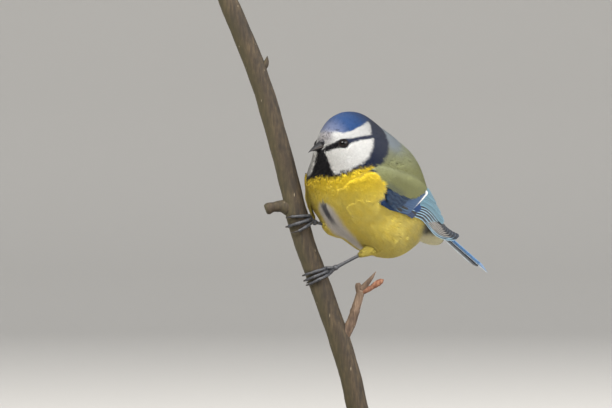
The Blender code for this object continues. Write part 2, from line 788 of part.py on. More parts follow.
def wing_plate():
    """The body of the folded wing that carries the roots of its feathers."""
    rows = []
    for s in np.linspace(1.0, 34.0, 9):
        low, high = wing_outline(s)
        v = np.linspace(0.0, 1.0, 7)
        chart = [(s, low + (high - low) * x) for x in v]
        rim = np.sin(np.pi * np.clip(v, 0.0, 1.0)) ** 0.5
        ends = min(1.0, s / 5.0) * min(1.0, (36.0 - s) / 8.0)
        top = on_wing(chart, GAP + 0.55 + 1.8 * rim * ends)
        under = on_wing(chart, np.full(7, GAP + 0.2))
        rows.append([*top, *under[::-1]])
    return rows


def make_wing(side):
    """Side is 1 on the left and -1 on the right."""
    mirror = np.array([1.0, side, 1.0])
    word = "left" if side > 0 else "right"

    def placed(rows):
        return [list(from_body(np.array(row) * mirror)) for row in rows]

    wing = add("wing_" + word, loft(placed(PLATE), "wing"), BLUE)
    pieces = [vane("quill", placed(rows)) for rows in TIERS]
    combine(wing, pieces, "UNION", "MANIFOLD")
    wing.data.materials.clear()
    wing.data.materials.append(BLUE)


# Branch, side twig and stand

def make_perch():
    """The cut branch with a stub on its left and a bud high on its right."""
    radii = [branch_radius(p[2]) for p in BRANCH_POINTS]
    branch = add("perch_branch", tube("branch", BRANCH_POINTS, radii, 4), BARK)
    centre, _, _ = branch_at(107.2)
    stub = tube("stub", [centre, centre + (-5.5, -0.5, 0.9), centre + (-9.0, -0.9, 0.6), centre + (-12.6, -1.2, -0.4)],
                [3.1, 2.5, 2.2, 2.5], 3)
    centre, _, _ = branch_at(166.5)
    bud = tube("bud", [centre + (2.0, 0.0, -2.6), centre + (4.7, -0.3, -0.6), centre + (5.6, -0.4, 2.3)],
               [1.9, 1.3, 0.5], 2)
    combine(branch, [add("stub", stub), add("bud", bud)], "UNION")
    branch.data.materials.clear()
    branch.data.materials.append(BARK)


def make_twig():
    """The short side twig, with a broken knob, a thin dry spike and a ripe bud at its top."""
    centre, _, _ = branch_at(54.0)
    root = centre + (1.4, 0.0, 0.5)
    spine = [root, centre + (4.6, -0.4, 6.0), centre + (6.6, -0.7, 12.4), centre + (9.0, -0.9, 20.0)]
    shaft = tube("shaft", smooth_line(spine, 3), np.interp(range(10), (0, 3, 6, 9), (2.6, 2.3, 1.9, 1.7)), 3)
    top = centre + (9.0, -0.9, 20.0)
    knob = tube("knob", [top + (-0.4, 0, -1.0), top + (-1.0, 0.0, 1.4), top + (-1.4, 0.1, 3.0)], [1.6, 1.3, 1.0], 2)
    spike = tube("spike", [top, top + (2.2, -0.3, 2.6), top + (4.2, -0.4, 5.0), top + (6.0, -0.6, 7.6)],
                 [1.5, 1.1, 0.8, 0.22], 2)
    ripe = tube("ripe", [top + (0, 0, -0.6), top + (3.4, 0.2, 0.6), top + (5.4, 0.3, 1.9), top + (7.6, 0.4, 3.3),
                         top + (9.2, 0.5, 4.3)], [1.5, 1.1, 1.3, 1.15, 0.5], 2)
    twig = add("perch_twig", shaft, BARK)
    combine(twig, [add("knob", knob), add("spike", spike), add("ripe", ripe)], "UNION")
    line = [p for p in BRANCH_POINTS if 30.0 < p[2] < 80.0]
    hold = add("hold", tube("hold", line, [branch_radius(p[2]) + GAP for p in line], 4))
    combine(twig, [hold], "DIFFERENCE")
    twig.data.materials.clear()
    twig.data.materials.append(BARK)


def make_stand():
    bm = bmesh.new()
    bmesh.ops.create_cone(bm, cap_ends=True, segments=48, radius1=BASE_RADIUS * MM, radius2=BASE_RADIUS * MM,
                          depth=BASE_HEIGHT * MM)
    bmesh.ops.translate(bm, vec=(0, 0, BASE_HEIGHT / 2 * MM), verts=bm.verts)
    rim = [e for e in bm.edges if e.calc_length() < 8 * MM and abs(e.verts[0].co.z - e.verts[1].co.z) < 1e-6]
    bmesh.ops.bevel(bm, geom=rim, offset=1.2 * MM, segments=2, profile=0.5, affect="EDGES")
    add("stand_base", mesh_of(bm, "stand_base"), WOOD)
    foot = BRANCH_POINTS[-1]
    start = (foot[0], foot[1], BASE_HEIGHT + GAP)
    end = (foot[0], foot[1], foot[2] - GAP - 1.6)
    rod(ROD_RADIUS, start, end, 24, "stand_rod").data.materials.append(STEEL)


clear_scene()
PARTS = collection("blue_tit")
YELLOW = material("yellow_plumage", (0.72, 0.56, 0.08), 0.85)
NAVY = material("head_plumage", (0.05, 0.09, 0.25), 0.85)
BLUE = material("flight_feathers", (0.07, 0.17, 0.33), 0.6)
HORN = material("leg_scales", (0.07, 0.08, 0.11), 0.5)
CLAW = material("claw_horn", (0.03, 0.03, 0.04), 0.35)
BILL = material("bill_horn", (0.03, 0.03, 0.035), 0.35)
EYE = material("eye", (0.01, 0.008, 0.006), 0.05)
BARK = material("bark", (0.16, 0.12, 0.08), 0.85)
WOOD = material("stand_wood", (0.12, 0.06, 0.03), 0.4)
STEEL = material("stand_steel", (0.5, 0.5, 0.5), 0.3, 1.0)

make_perch()
make_twig()
make_stand()
SHANKS = [make_leg(side) for side in FEET]
make_torso(SHANKS)
make_neck()
make_head()
make_bill()
make_tail()
TIERS = wing_rows()
PLATE = wing_plate()
for wing_side in (1.0, -1.0):
    make_wing(wing_side)
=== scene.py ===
"""A life-size blue tit that grips a cut length of leaning twig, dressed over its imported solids.

The file follows the model as a preparator puts it together: the stand, the twig, the body's skin with its
coat of small feathers, then wings, tail, bill, eyes and legs. Shape functions work in millimetres in the
part's own frame, and meshes are in metres.
"""
import math

import bmesh
import bpy
import numpy as np
from mathutils import Matrix, Vector, noise


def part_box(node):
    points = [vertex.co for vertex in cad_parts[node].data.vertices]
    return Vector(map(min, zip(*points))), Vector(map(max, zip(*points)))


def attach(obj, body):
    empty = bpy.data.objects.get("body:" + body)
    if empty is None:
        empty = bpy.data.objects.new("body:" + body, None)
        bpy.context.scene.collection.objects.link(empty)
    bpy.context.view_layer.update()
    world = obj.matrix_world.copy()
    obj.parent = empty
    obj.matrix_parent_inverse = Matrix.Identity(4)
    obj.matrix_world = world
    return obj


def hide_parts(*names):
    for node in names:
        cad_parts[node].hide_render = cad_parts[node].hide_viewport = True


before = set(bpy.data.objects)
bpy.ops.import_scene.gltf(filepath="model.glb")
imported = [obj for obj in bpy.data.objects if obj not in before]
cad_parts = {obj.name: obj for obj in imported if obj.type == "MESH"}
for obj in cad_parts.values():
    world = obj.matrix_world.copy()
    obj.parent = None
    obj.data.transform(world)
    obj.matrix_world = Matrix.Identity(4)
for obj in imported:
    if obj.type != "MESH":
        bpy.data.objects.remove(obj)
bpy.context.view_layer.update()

MM = 0.001

# The studio. A pale floor rises all round into a wall, like a photographer's sweep, so that no edge shows.
# A large soft light stands at the upper left, a weaker one fills from the right, and a faint one lights the
# right side. The camera stands level with the bird, far off, and frames the same width as the photograph.

VIEW_WIDTH = 250.9
VIEW_CENTRE = (-16.0, 0.0, 109.1)
VIEW_DISTANCE = 1400.0
SENSOR = 36.0
FLOOR_PROFILE = ((0.0, 0.0), (1500.0, 0.0), (1900.0, 40.0), (2200.0, 220.0), (2350.0, 600.0),
                 (2400.0, 1800.0))
PALE = (0.44, 0.425, 0.40)


def metres(point):
    return Vector([float(x) * MM for x in point])


def own_piece(name, mesh, finish):
    """Links a mesh as a smooth piece of the scene at the origin."""
    mesh.shade_smooth()
    mesh.materials.append(finish)
    obj = bpy.data.objects.new(name, mesh)
    bpy.context.scene.collection.objects.link(obj)
    return obj


def mesh_of(bm, name, inwards=False):
    """The mesh of a bmesh, with its faces turned outwards, or inwards for a wall seen from inside."""
    bmesh.ops.recalc_face_normals(bm, faces=bm.faces)
    if inwards:
        bmesh.ops.reverse_faces(bm, faces=bm.faces)
    mesh = bpy.data.meshes.new(name)
    bm.to_mesh(mesh)
    bm.free()
    return mesh


def plug(tree, socket, value):
    """Gives a socket a value, or links it where the value is another node's output."""
    if isinstance(value, bpy.types.NodeSocket):
        tree.links.new(value, socket)
    else:
        socket.default_value = value


def connect(tree, made, **settings):
    """Sets a node's sockets and properties by name, with an underscore for each space."""
    for key, value in settings.items():
        socket = key.replace("_", " ")
        if socket in made.inputs:
            plug(tree, made.inputs[socket], value)
        else:
            setattr(made, key, value)


def new_material(name, roughness, **sockets):
    """A material with its shader's own sockets set, and its node tree and shader."""
    made = bpy.data.materials.new(name)
    made.use_nodes = True
    shader = made.node_tree.nodes["Principled BSDF"]
    connect(made.node_tree, shader, Roughness=roughness, **sockets)
    return made, made.node_tree, shader


def node(tree, kind, **settings):
    made = tree.nodes.new("ShaderNode" + kind)
    connect(tree, made, **settings)
    return made


def maths(tree, operation, a, b=0.0):
    made = node(tree, "Math", operation=operation)
    plug(tree, made.inputs[0], a)
    plug(tree, made.inputs[1], b)
    return made.outputs["Value"]


def object_place(tree, scale=(1.0, 1.0, 1.0), turn=(0.0, 0.0, 0.0)):
    """Places on the object itself, stretched and turned."""
    place = node(tree, "TexCoord").outputs["Object"]
    return node(tree, "Mapping", Vector=place, Scale=scale, Rotation=turn).outputs["Vector"]


def painted(tree, layer, output="Color"):
    """A colour painted on the mesh, or its alpha or grey."""
    return node(tree, "Attribute", attribute_name=layer).outputs[output]


def noise_at(tree, place, scale, detail, **more):
    """Fine noise over a place given by another node."""
    return node(tree, "TexNoise", Vector=place, Scale=scale, Detail=detail, **more).outputs["Fac"]


def ramp(tree, fac, stops):
    """The colour of a ramp with its stops as (place, colour). A single number as colour is a grey."""
    made = node(tree, "ValToRGB", Fac=fac)
    slots = made.color_ramp.elements
    while len(slots) < len(stops):
        slots.new(0.5)
    for slot, (place, colour) in zip(slots, stops):
        slot.position = place
        slot.color = (*colour, 1.0) if isinstance(colour, tuple) else (colour, colour, colour, 1.0)
    return made.outputs["Color"]


def mixed(tree, share, a, b, kind="MIX"):
    """Mixes two colours, or multiplies them."""
    return node(tree, "Mix", data_type="RGBA", blend_type=kind, Factor=share, A=a, B=b).outputs["Result"]


def bumped(tree, height, strength, distance):
    """The normal of a surface with a fine relief, its depth in metres."""
    return node(tree, "Bump", Strength=strength, Distance=distance, Height=height).outputs["Normal"]


def make_studio():
    bm = bmesh.new()
    ring = [bm.verts.new(metres((r, 0.0, z))) for r, z in FLOOR_PROFILE]
    edges = [bm.edges.new(pair) for pair in zip(ring, ring[1:])]
    bmesh.ops.spin(bm, geom=ring + edges, cent=(0, 0, 0), axis=(0, 0, 1), angle=2 * math.pi, steps=96,
                   use_merge=True)
    bmesh.ops.remove_doubles(bm, verts=bm.verts, dist=MM)
    paper = new_material("studio_paper", 0.9, Base_Color=(*PALE, 1.0))[0]
    floor = own_piece("studio_floor", mesh_of(bm, "studio_floor", inwards=True), paper)
    for name, place, size, power, colour in (
            ("key_light", (-600.0, -850.0, 1150.0), 600.0, 33.0, (1.0, 0.97, 0.92)),
            ("fill_light", (850.0, -900.0, 900.0), 900.0, 27.0, (0.97, 0.98, 1.0)),
            ("side_light", (1050.0, -50.0, 750.0), 700.0, 7.0, (1.0, 0.98, 0.95))):
        lamp = bpy.data.lights.new(name, "AREA")
        lamp.size = size * MM
        lamp.energy = power
        lamp.color = colour
        holder = bpy.data.objects.new(name, lamp)
        bpy.context.scene.collection.objects.link(holder)
        holder.location = metres(place)
        holder.rotation_euler = (metres(VIEW_CENTRE) - holder.location).to_track_quat("-Z", "Y").to_euler()
    world = bpy.data.worlds.new("studio_air")
    world.use_nodes = True
    air = world.node_tree.nodes["Background"]
    connect(world.node_tree, air, Color=(0.90, 0.94, 1.0, 1.0), Strength=0.75)
    bpy.context.scene.world = world
    lens = bpy.data.cameras.new("camera")
    lens.sensor_width = SENSOR
    lens.lens = SENSOR * VIEW_DISTANCE / VIEW_WIDTH
    lens.clip_start = 0.01
    lens.clip_end = 20.0
    camera = bpy.data.objects.new("camera", lens)
    bpy.context.scene.collection.objects.link(camera)
    camera.location = metres((VIEW_CENTRE[0], VIEW_CENTRE[1] - VIEW_DISTANCE, VIEW_CENTRE[2]))
    camera.rotation_euler = (math.radians(90), 0, 0)
    bpy.context.scene.camera = camera
    bpy.context.scene.view_settings.view_transform = "Standard"


make_studio()

# The display stand: a turned hardwood base with a moulded edge, and a short steel rod that enters the cut end
# of the twig. The base is varnished, and the rod sits in a small brass collar.

BASE_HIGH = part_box("stand_base")[1]
ROD_LOW, ROD_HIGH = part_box("stand_rod")


def turned(name, profile, centre, finish, steps=96):
    """A solid turned about an upright axis from a profile of (radius, height) in millimetres."""
    bm = bmesh.new()
    verts = [bm.verts.new(metres((centre[0] + r, centre[1], z))) for r, z in profile]
    edges = [bm.edges.new(pair) for pair in zip(verts, verts[1:])]
    bmesh.ops.spin(bm, geom=verts + edges, cent=metres((centre[0], centre[1], 0)), axis=(0, 0, 1),
                   angle=2 * math.pi, steps=steps, use_merge=True)
    bmesh.ops.remove_doubles(bm, verts=bm.verts, dist=0.01 * MM)
    piece = own_piece(name, mesh_of(bm, name), finish)
    piece.data.set_sharp_from_angle(angle=math.radians(45))
    return piece


def wood_finish():
    """Varnished walnut with a long grain and fine pores."""
    finish, tree, shader = new_material("walnut", 0.32, Coat_Weight=0.35, Coat_Roughness=0.15)
    place = object_place(tree, (14.0, 90.0, 40.0))
    grain = noise_at(tree, place, 1.6, 6.0, Roughness=0.62, Distortion=1.2)
    tones = ramp(tree, grain, ((0.25, (0.035, 0.016, 0.008)), (0.5, (0.10, 0.048, 0.022)),
                               (0.8, (0.19, 0.10, 0.05))))
    pores = noise_at(tree, place, 9.0, 3.0)
    connect(tree, shader, Base_Color=tones, Normal=bumped(tree, pores, 0.12, 0.0003))
    return finish


def make_stand():
    radius, height = BASE_HIGH.x / MM, BASE_HIGH.z / MM
    profile = [(0.0, 0.0), (radius - 1.2, 0.0), (radius - 0.3, 0.4), (radius, 1.3), (radius, 3.2),
               (radius - 0.5, 4.0), (radius - 1.6, 4.4), (radius - 1.8, 4.9), (radius - 2.0, 6.4),
               (radius - 2.8, 7.8), (radius - 4.2, 8.7), (radius - 6.0, height), (0.0, height)]
    base = turned("display_base", profile, (0.0, 0.0), wood_finish())
    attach(base, "root")
    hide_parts("stand_base")
    steel, tree, shader = new_material("brushed_steel", 0.28, Metallic=1.0)
    lines = noise_at(tree, object_place(tree, (60.0, 60.0, 9000.0)), 1.0, 2.0)
    connect(tree, shader, Base_Color=ramp(tree, lines, ((0.3, (0.42, 0.42, 0.43)), (0.7, 0.62))))
    middle = (ROD_LOW + ROD_HIGH) / 2 / MM
    rod_radius = (ROD_HIGH.x - ROD_LOW.x) / 2 / MM
    low, high = ROD_LOW.z / MM, ROD_HIGH.z / MM
    rod = turned("display_rod", [(0.0, low), (rod_radius * 0.86, low), (rod_radius, low + 0.25),
                                 (rod_radius, high - 0.3), (rod_radius * 0.8, high), (0.0, high)],
                 middle, steel, 40)
    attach(rod, "root")
    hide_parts("stand_rod")
    brass, tree, shader = new_material("brass", 0.3, Metallic=1.0, Base_Color=(0.66, 0.46, 0.18, 1.0))
    specks = noise_at(tree, object_place(tree), 900.0, 2.0)
    connect(tree, shader, Normal=bumped(tree, specks, 0.1, 0.0001))
    ring = [(rod_radius + out, height + up) for out, up in ((0.12, 0.05), (1.9, 0.05), (2.0, 0.5), (1.3, 1.0),
                                                            (0.9, 1.8), (0.12, 1.9), (0.12, 0.05))]
    collar = turned("display_collar", ring, middle, brass, 48)
    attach(collar, "root")


make_stand()

# The twig: a cut length of a young branch, nearly upright and leaning left, with smooth grey-brown bark that
# has a green cast, raised corky pores, a short stub where a side shoot was cut, and a small pointed bud.

BRANCH_LINE = ((-49.5, 196.0), (-47.7, 192.0), (-36.7, 165.0), (-29.9, 144.0), (-22.3, 116.0),
               (-17.2, 95.2), (-9.6, 74.3), (0.0, 46.4), (4.8, 27.0), (6.1, 22.0))
BRANCH_DEPTH = -6.0
BRANCH_RADIUS = 4.55
BRANCH_TOP_RADIUS = 4.2
BRANCH_TOP = 197.9
BARK = ((0.014, 0.009, 0.004), (0.036, 0.023, 0.010), (0.074, 0.050, 0.024))
SHOOT_BARK = ((0.045, 0.026, 0.016), (0.11, 0.068, 0.042), (0.20, 0.135, 0.09))
BUD_SCALES = ((0.07, 0.022, 0.010), (0.17, 0.065, 0.032), (0.30, 0.16, 0.09))


def smooth_step(x, low, high):
    t = np.clip((x - low) / (high - low), 0.0, 1.0)
    return t * t * (3.0 - 2.0 * t)


def smooth_line(points, per_span):
    """Points on a Catmull-Rom curve through the given ones."""
    p = np.asarray(points, float)
    p = np.vstack([2 * p[0] - p[1], p, 2 * p[-1] - p[-2]])
    line = []
    for i in range(1, len(p) - 2):
        for t in np.arange(per_span) / per_span:
            line.append(0.5 * (2 * p[i] + (p[i + 1] - p[i - 1]) * t
                               + (2 * p[i - 1] - 5 * p[i] + 4 * p[i + 1] - p[i + 2]) * t**2
                               + (3 * p[i] - p[i - 1] - 3 * p[i + 1] + p[i + 2]) * t**3))
    return np.array(line + [p[-2]])


BRANCH_POINTS = smooth_line([(x, BRANCH_DEPTH, z) for x, z in BRANCH_LINE], 12)


def join_rings(bm, rings, closed=False):
    """Faces between rings of points in millimetres, from end to end or closed round."""
    rows = [[bm.verts.new(metres(p)) for p in ring] for ring in rings]
    for a, b in zip(rows, rows[1:] + rows[:1] if closed else rows[1:]):
        for i in range(len(a)):
            k = (i + 1) % len(a)
            bm.faces.new((a[i], a[k], b[k], b[i]))
    return rows


def unit(v):
    """Directions of length 1."""
    return v / np.maximum(np.linalg.norm(v, axis=-1, keepdims=True), 1e-6)


def branch_radius(height):
    return np.interp(height, (22.0, 196.0), (BRANCH_RADIUS, BRANCH_TOP_RADIUS))


def branch_at(height):
    """Centre of the branch at a height, its direction downwards and the direction to its right."""
    z = BRANCH_POINTS[:, 2]
    i = min(max(int(np.argmin(np.abs(z - height))), 1), len(z) - 2)
    down = unit(BRANCH_POINTS[i + 1] - BRANCH_POINTS[i - 1])
    x = np.interp(height, z[::-1], BRANCH_POINTS[::-1, 0])
    return np.array([x, BRANCH_DEPTH, height]), down, unit(np.cross((0.0, -1.0, 0.0), down))


def swept(name, line, radii, around, dent=None):
    """A closed tube along a line, from a grid wrapped round it. dent(points, outward) gives its relief."""
    line = np.asarray(line, float)
    radii = np.broadcast_to(np.asarray(radii, float), (len(line),))
    way = unit(np.gradient(line, axis=0))
    side = np.zeros_like(line)
    side[0] = unit(np.cross(way[0], (0.0, 0.0, 1.0) if abs(way[0][2]) < 0.9 else (0.0, 1.0, 0.0)))
    for i in range(1, len(line)):
        side[i] = unit(side[i - 1] - way[i] * (side[i - 1] @ way[i]))
    other = np.cross(way, side)
    bm = bmesh.new()
    bmesh.ops.create_grid(bm, x_segments=around, y_segments=len(line) - 1, size=1.0)
    bm.verts.ensure_lookup_table()
    co = np.array([v.co for v in bm.verts])
    angle = (co[:, 0] + 1) * math.pi
    row = np.rint((co[:, 1] + 1) / 2 * (len(line) - 1)).astype(int)
    outward = side[row] * np.cos(angle)[:, None] + other[row] * np.sin(angle)[:, None]
    points = line[row] + outward * radii[row][:, None]
    if dent is not None:
        points = points + outward * dent(points, outward)[:, None]
    for vert, point in zip(bm.verts, points):
        vert.co = metres(point)
    bmesh.ops.remove_doubles(bm, verts=bm.verts, dist=0.002 * MM)
    bmesh.ops.holes_fill(bm, edges=[e for e in bm.edges if e.is_boundary], sides=0)
    return mesh_of(bm, name)


def bark_finish(name, tones_of_bark, green):
    """Bark: long streaks along the twig, pale pores, a green film on the left side that is partly painted
    light, and dark worn spots.
    """
    finish, tree, shader = new_material(name, 0.82)
    along_twig = object_place(tree, (1.0, 1.0, 0.16), (0.0, math.radians(-17.0), 0.0))
    streaks = noise_at(tree, along_twig, 900.0, 5.0, Roughness=0.6)
    spots = noise_at(tree, object_place(tree), 170.0, 5.0, Roughness=0.65)
    pores = node(tree, "TexVoronoi", Vector=along_twig, Scale=520.0).outputs["Distance"]
    dots = ramp(tree, pores, ((0.03, 1.0), (0.09, 0.0)))
    worn = ramp(tree, spots, ((0.38, (0.45, 0.42, 0.38)), (0.62, 1.0)))
    colour = ramp(tree, streaks, tuple(zip((0.28, 0.48, 0.72), tones_of_bark)))
    colour = mixed(tree, 0.75, colour, worn, "MULTIPLY")
    # Partly painted light: faces turned to the left, towards the key lamp, take a greener and mostly lighter
    # tone; the rest is the bark's green film.
    facing = node(tree, "SeparateXYZ", Vector=node(tree, "NewGeometry").outputs["Normal"]).outputs["X"]
    green_film_and_light = node(tree, "MapRange", Value=facing, From_Min=0.1, From_Max=-0.9, To_Max=green).outputs["Result"]
    colour = mixed(tree, green_film_and_light, colour, (0.065, 0.058, 0.024, 1.0))
    colour = mixed(tree, dots, colour, (0.30, 0.25, 0.17, 1.0))
    relief = maths(tree, "ADD", streaks, dots)
    connect(tree, shader, Base_Color=colour, Normal=bumped(tree, relief, 0.5, 0.00025))
    return finish


def bark_relief(points, outward):
    """Height of the bark: long shallow ridges, small bumps and one swelling, and a thinner top."""
    low = np.array([noise.noise(Vector(p)) for p in points * (0.35, 0.35, 0.05)])
    fine = np.array([noise.noise(Vector(p)) for p in points * (1.6, 1.6, 0.45)])
    swelling = 0.35 * np.exp(-((points[:, 2] - 104.0) / 4.5) ** 2)
    rise = np.minimum(low * 0.26 + fine * 0.10 + swelling - 0.18, 0.25)
    return rise - 0.5 * smooth_step(points[:, 2], 190.0, 196.0)


def twig_part(name, line, per_span, shares, radii, around, finish, dent=None):
    """A closed tube along a smooth line whose radii are given at shares of its length."""
    line = smooth_line(line, per_span)
    radii = np.interp(np.linspace(0.0, 1.0, len(line)), shares, radii)
    part = own_piece(name, swept(name, line, radii, around, dent), finish)
    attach(part, "root")
    return part


def make_branch():
    bark = bark_finish("branch_bark", BARK, 0.55)
    radii = branch_radius(BRANCH_POINTS[:, 2])
    trunk = own_piece("twig_main", swept("twig_main", BRANCH_POINTS, radii, 48, bark_relief), bark)
    for vert in trunk.data.vertices:
        vert.co.z = min(vert.co.z, BRANCH_TOP * MM)
    trunk.data.set_sharp_from_angle(angle=math.radians(60))
    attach(trunk, "root")
    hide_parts("perch_branch")
    centre = branch_at(107.2)[0]
    stub = centre + ((0.0, 0.0, 0.0), (-3.6, -0.3, 0.9), (-6.6, -0.6, 1.1), (-9.6, -0.9, 0.7),
                     (-12.3, -1.2, -0.3))
    twig_part("twig_stub", stub, 6, (0.0, 0.28, 0.45, 0.7, 0.93, 1.0), (4.0, 3.3, 2.4, 2.1, 2.4, 1.9), 28,
              bark, bark_relief)
    bud = branch_at(166.5)[0] + ((2.0, 0.0, -2.8), (4.4, -0.3, -0.9), (5.2, -0.4, 1.0), (5.5, -0.4, 3.0))
    twig_part("twig_bud", bud, 5, (0.0, 0.35, 0.7, 1.0), (1.6, 1.45, 0.9, 0.12), 18, bark)


def make_side_twig():
    """The side shoot: pinkish-grey bark, a ring scar, a broken knob, a dry spike and a scaly winter bud."""
    bark = bark_finish("shoot_bark", SHOOT_BARK, 0.12)
    red = bark_finish("bud_scales", BUD_SCALES, 0.0)
    spine = branch_at(54.0)[0] + ((1.4, 0.0, 0.5), (4.6, -0.4, 6.0), (6.6, -0.7, 12.4), (9.0, -0.9, 20.0))
    top = spine[-1]
    bud = top + ((0, 0, -0.6), (3.4, 0.2, 0.6), (5.4, 0.3, 1.9), (7.6, 0.4, 3.3), (9.2, 0.5, 4.3))

    def scales(points, outward):
        run = (points - bud[0]) @ unit(bud[-1] - bud[0])
        turn = np.arctan2(outward[:, 1], outward[:, 2])
        return np.where(run > 4.6, 0.13 * np.abs(np.sin(run * 2.2 + turn)) - 0.05, 0.0)

    knob = top + ((-0.4, 0, -1.2), (-1.0, 0.0, 0.6), (-1.4, 0.1, 2.9))
    spike = top + ((0.0, 0.0, 0.0), (2.2, -0.3, 2.6), (4.2, -0.4, 5.0), (6.0, -0.6, 7.6))
    shaft = twig_part("shoot_main", spine, 9, (0.0, 0.3, 0.55, 0.62, 0.66, 1.0),
                      (2.75, 2.35, 2.0, 2.25, 1.95, 1.75), 30, bark, bark_relief)
    twig_part("shoot_knob", knob, 5, (0.0, 0.5, 0.8, 1.0), (1.6, 1.4, 1.3, 0.8), 18, bark)
    twig_part("shoot_spike", spike, 5, (0.0, 1 / 3, 2 / 3, 1.0), (1.55, 1.1, 0.75, 0.1), 16, bark)
    twig_part("shoot_bud", bud, 8, (0.0, 0.38, 0.5, 0.7, 0.88, 1.0), (1.5, 0.95, 1.2, 1.3, 0.9, 0.1),
              20, red, scales)
    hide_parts("perch_twig")


make_branch()
make_side_twig()

# The body under the feathers: one smooth form for head, neck and torso, a blend of ellipsoids as in the
# solids with a low swelling over each thigh. The skin lies inside it by the depth of the coat, which is thin
# round the eyes and bill and deeper on the body.

BODY_CENTRE = np.array([8.6, 0.0, 112.4])
BODY_YAW = 41.0
HEAD_YAW = 35.0
HEAD_PITCH = -12.0
HEAD_IN_BODY = np.array([9.8, 0.0, 20.5])
BREAST = ((7.2, 0.0, 4.6), (18.0, 21.0, 19.5), 0.0)
BELLY = ((-8.0, 0.0, -5.5), (21.5, 20.5, 19.0), 28.0)
MANTLE = ((-7.4, 0.0, 7.6), (18.0, 17.5, 16.2), 38.0)
RUMP = ((-26.5, 0.0, -9.0), (18.5, 8.0, 6.3), 34.0)
NAPE = ((1.2, 0.0, 15.8), (13.5, 14.0, 13.5), 0.0)
SKULL = ((-1.0, 0.0, 0.2), (13.2, 12.8, 13.6), 0.0)
FACE = ((4.0, 0.0, -2.4), (11.3, 11.2, 9.8), -12.0)
EYE_AT = (8.8, 2.6)
EYE_RADIUS = 2.15
EYE_SINK = 1.15
BILL_BASE = (11.0, 0.0, 2.9)
BILL_PITCH = -7.0
TAIL_ROOT = np.array([-25.8, 0.0, -4.6])
TAIL_SLOPE = 32.6
THIGHS = (((-3.0, 9.0, -16.5), (9.0, 8.0, 7.0), 20.0), ((12.1, -6.5, -12.3), (5.0, 4.0, 4.0), 20.0))
COAT_ON_BODY = 1.6
COAT_ON_HEAD = 0.9
COAT_ON_FACE = 0.3
# Barbs end this far from an eye's rim: at their root, middle and tip.
EYE_CLEAR = (1.8, 1.95, 1.9)


def axes(yaw, pitch=0.0):
    """Rows are forward, left and up, for a heading turned by yaw from -X and raised by pitch."""
    a, p = math.radians(yaw), math.radians(pitch)
    forward = np.array([-math.cos(a) * math.cos(p), -math.sin(a) * math.cos(p), math.sin(p)])
    left = np.array([math.sin(a), -math.cos(a), 0.0])
    return np.array([forward, left, np.cross(forward, left)])


BODY_AXES = axes(BODY_YAW)
HEAD_AXES = axes(HEAD_YAW, HEAD_PITCH)
HEAD_CENTRE = BODY_CENTRE + HEAD_IN_BODY @ BODY_AXES


def from_body(points):
    return BODY_CENTRE + np.asarray(points, float) @ BODY_AXES


def to_body(points):
    return (np.asarray(points, float) - BODY_CENTRE) @ BODY_AXES.T


def from_head(points):
    return HEAD_CENTRE + np.asarray(points, float) @ HEAD_AXES


def to_head(points):
    return (np.asarray(points, float) - HEAD_CENTRE) @ HEAD_AXES.T


def ellipsoid(points, shape):
    """Near distance from points to an ellipsoid: centre, radii and pitch."""
    centre, radii, pitch = shape
    q = points - np.array(centre)
    a = math.radians(pitch)
    q = np.stack([q[:, 0] * math.cos(a) + q[:, 2] * math.sin(a), q[:, 1],
                  q[:, 2] * math.cos(a) - q[:, 0] * math.sin(a)], axis=1)
    radii = np.array(radii)
    near = np.linalg.norm(q / radii, axis=1)
    slope = np.linalg.norm(q / radii**2, axis=1)
    return near * (near - 1.0) / np.maximum(slope, 1e-9)


def blend(a, b, width):
    share = np.clip(0.5 + 0.5 * (b - a) / width, 0.0, 1.0)
    return b * (1.0 - share) + a * share - width * share * (1.0 - share)


def plumage(points):
    """Distance to the outside of the whole coat, in millimetres."""
    q = to_body(points)
    h = to_head(points)
    d = ellipsoid(q, BREAST)
    for part, width in ((BELLY, 8.0), (MANTLE, 7.0), (RUMP, 7.0), (NAPE, 5.0)):
        d = blend(d, ellipsoid(q, part), width)
    for thigh in THIGHS:
        d = blend(d, ellipsoid(q, thigh), thigh[1][1])
    return blend(d, blend(ellipsoid(h, SKULL), ellipsoid(h, FACE), 3.0), 4.0)


def normals_at(form, points):
    step = 0.05
    return unit(np.stack([form(points + e * step) - form(points - e * step) for e in np.eye(3)], axis=1))


def meet(form, start, direction, reach):
    """Walks from points outside a form along a direction to its surface."""
    walked = np.zeros(len(start))
    for _ in range(60):
        walked = np.minimum(walked + np.maximum(form(start + walked[:, None] * direction) * 0.8, 0.0), reach)
    return start + walked[:, None] * direction


def eye_place(side):
    """Middle of an eye ball and the outward direction there. Side is 1 on the left and -1 on the right."""
    start = from_head([(EYE_AT[0], 25.0 * side, EYE_AT[1])])
    skin = meet(plumage, start, HEAD_AXES[1] * -side, 30.0)
    out = normals_at(plumage, skin)[0]
    return skin[0] - out * EYE_SINK, out


EYES = [eye_place(1), eye_place(-1)]
BILL_ROOT = from_head([BILL_BASE])[0]


def eye_distance(points):
    """Distance of points from the nearer eye's rim."""
    return np.min([np.linalg.norm(points - (seat + out * EYE_SINK), axis=1) for seat, out in EYES], axis=0)


def coat_depth(points):
    """How deep the skin lies under the outside of the coat."""
    far = np.linalg.norm(points - HEAD_CENTRE, axis=1)
    depth = COAT_ON_HEAD + (COAT_ON_BODY - COAT_ON_HEAD) * smooth_step(far, 13.0, 26.0)
    near_eye = smooth_step(eye_distance(points), 2.0, 5.0)
    near_bill = smooth_step(np.linalg.norm(points - BILL_ROOT, axis=1), 2.0, 8.0)
    return COAT_ON_FACE + (depth - COAT_ON_FACE) * np.minimum(near_eye, near_bill)


def skin_form(points):
    return plumage(points) + coat_depth(points)
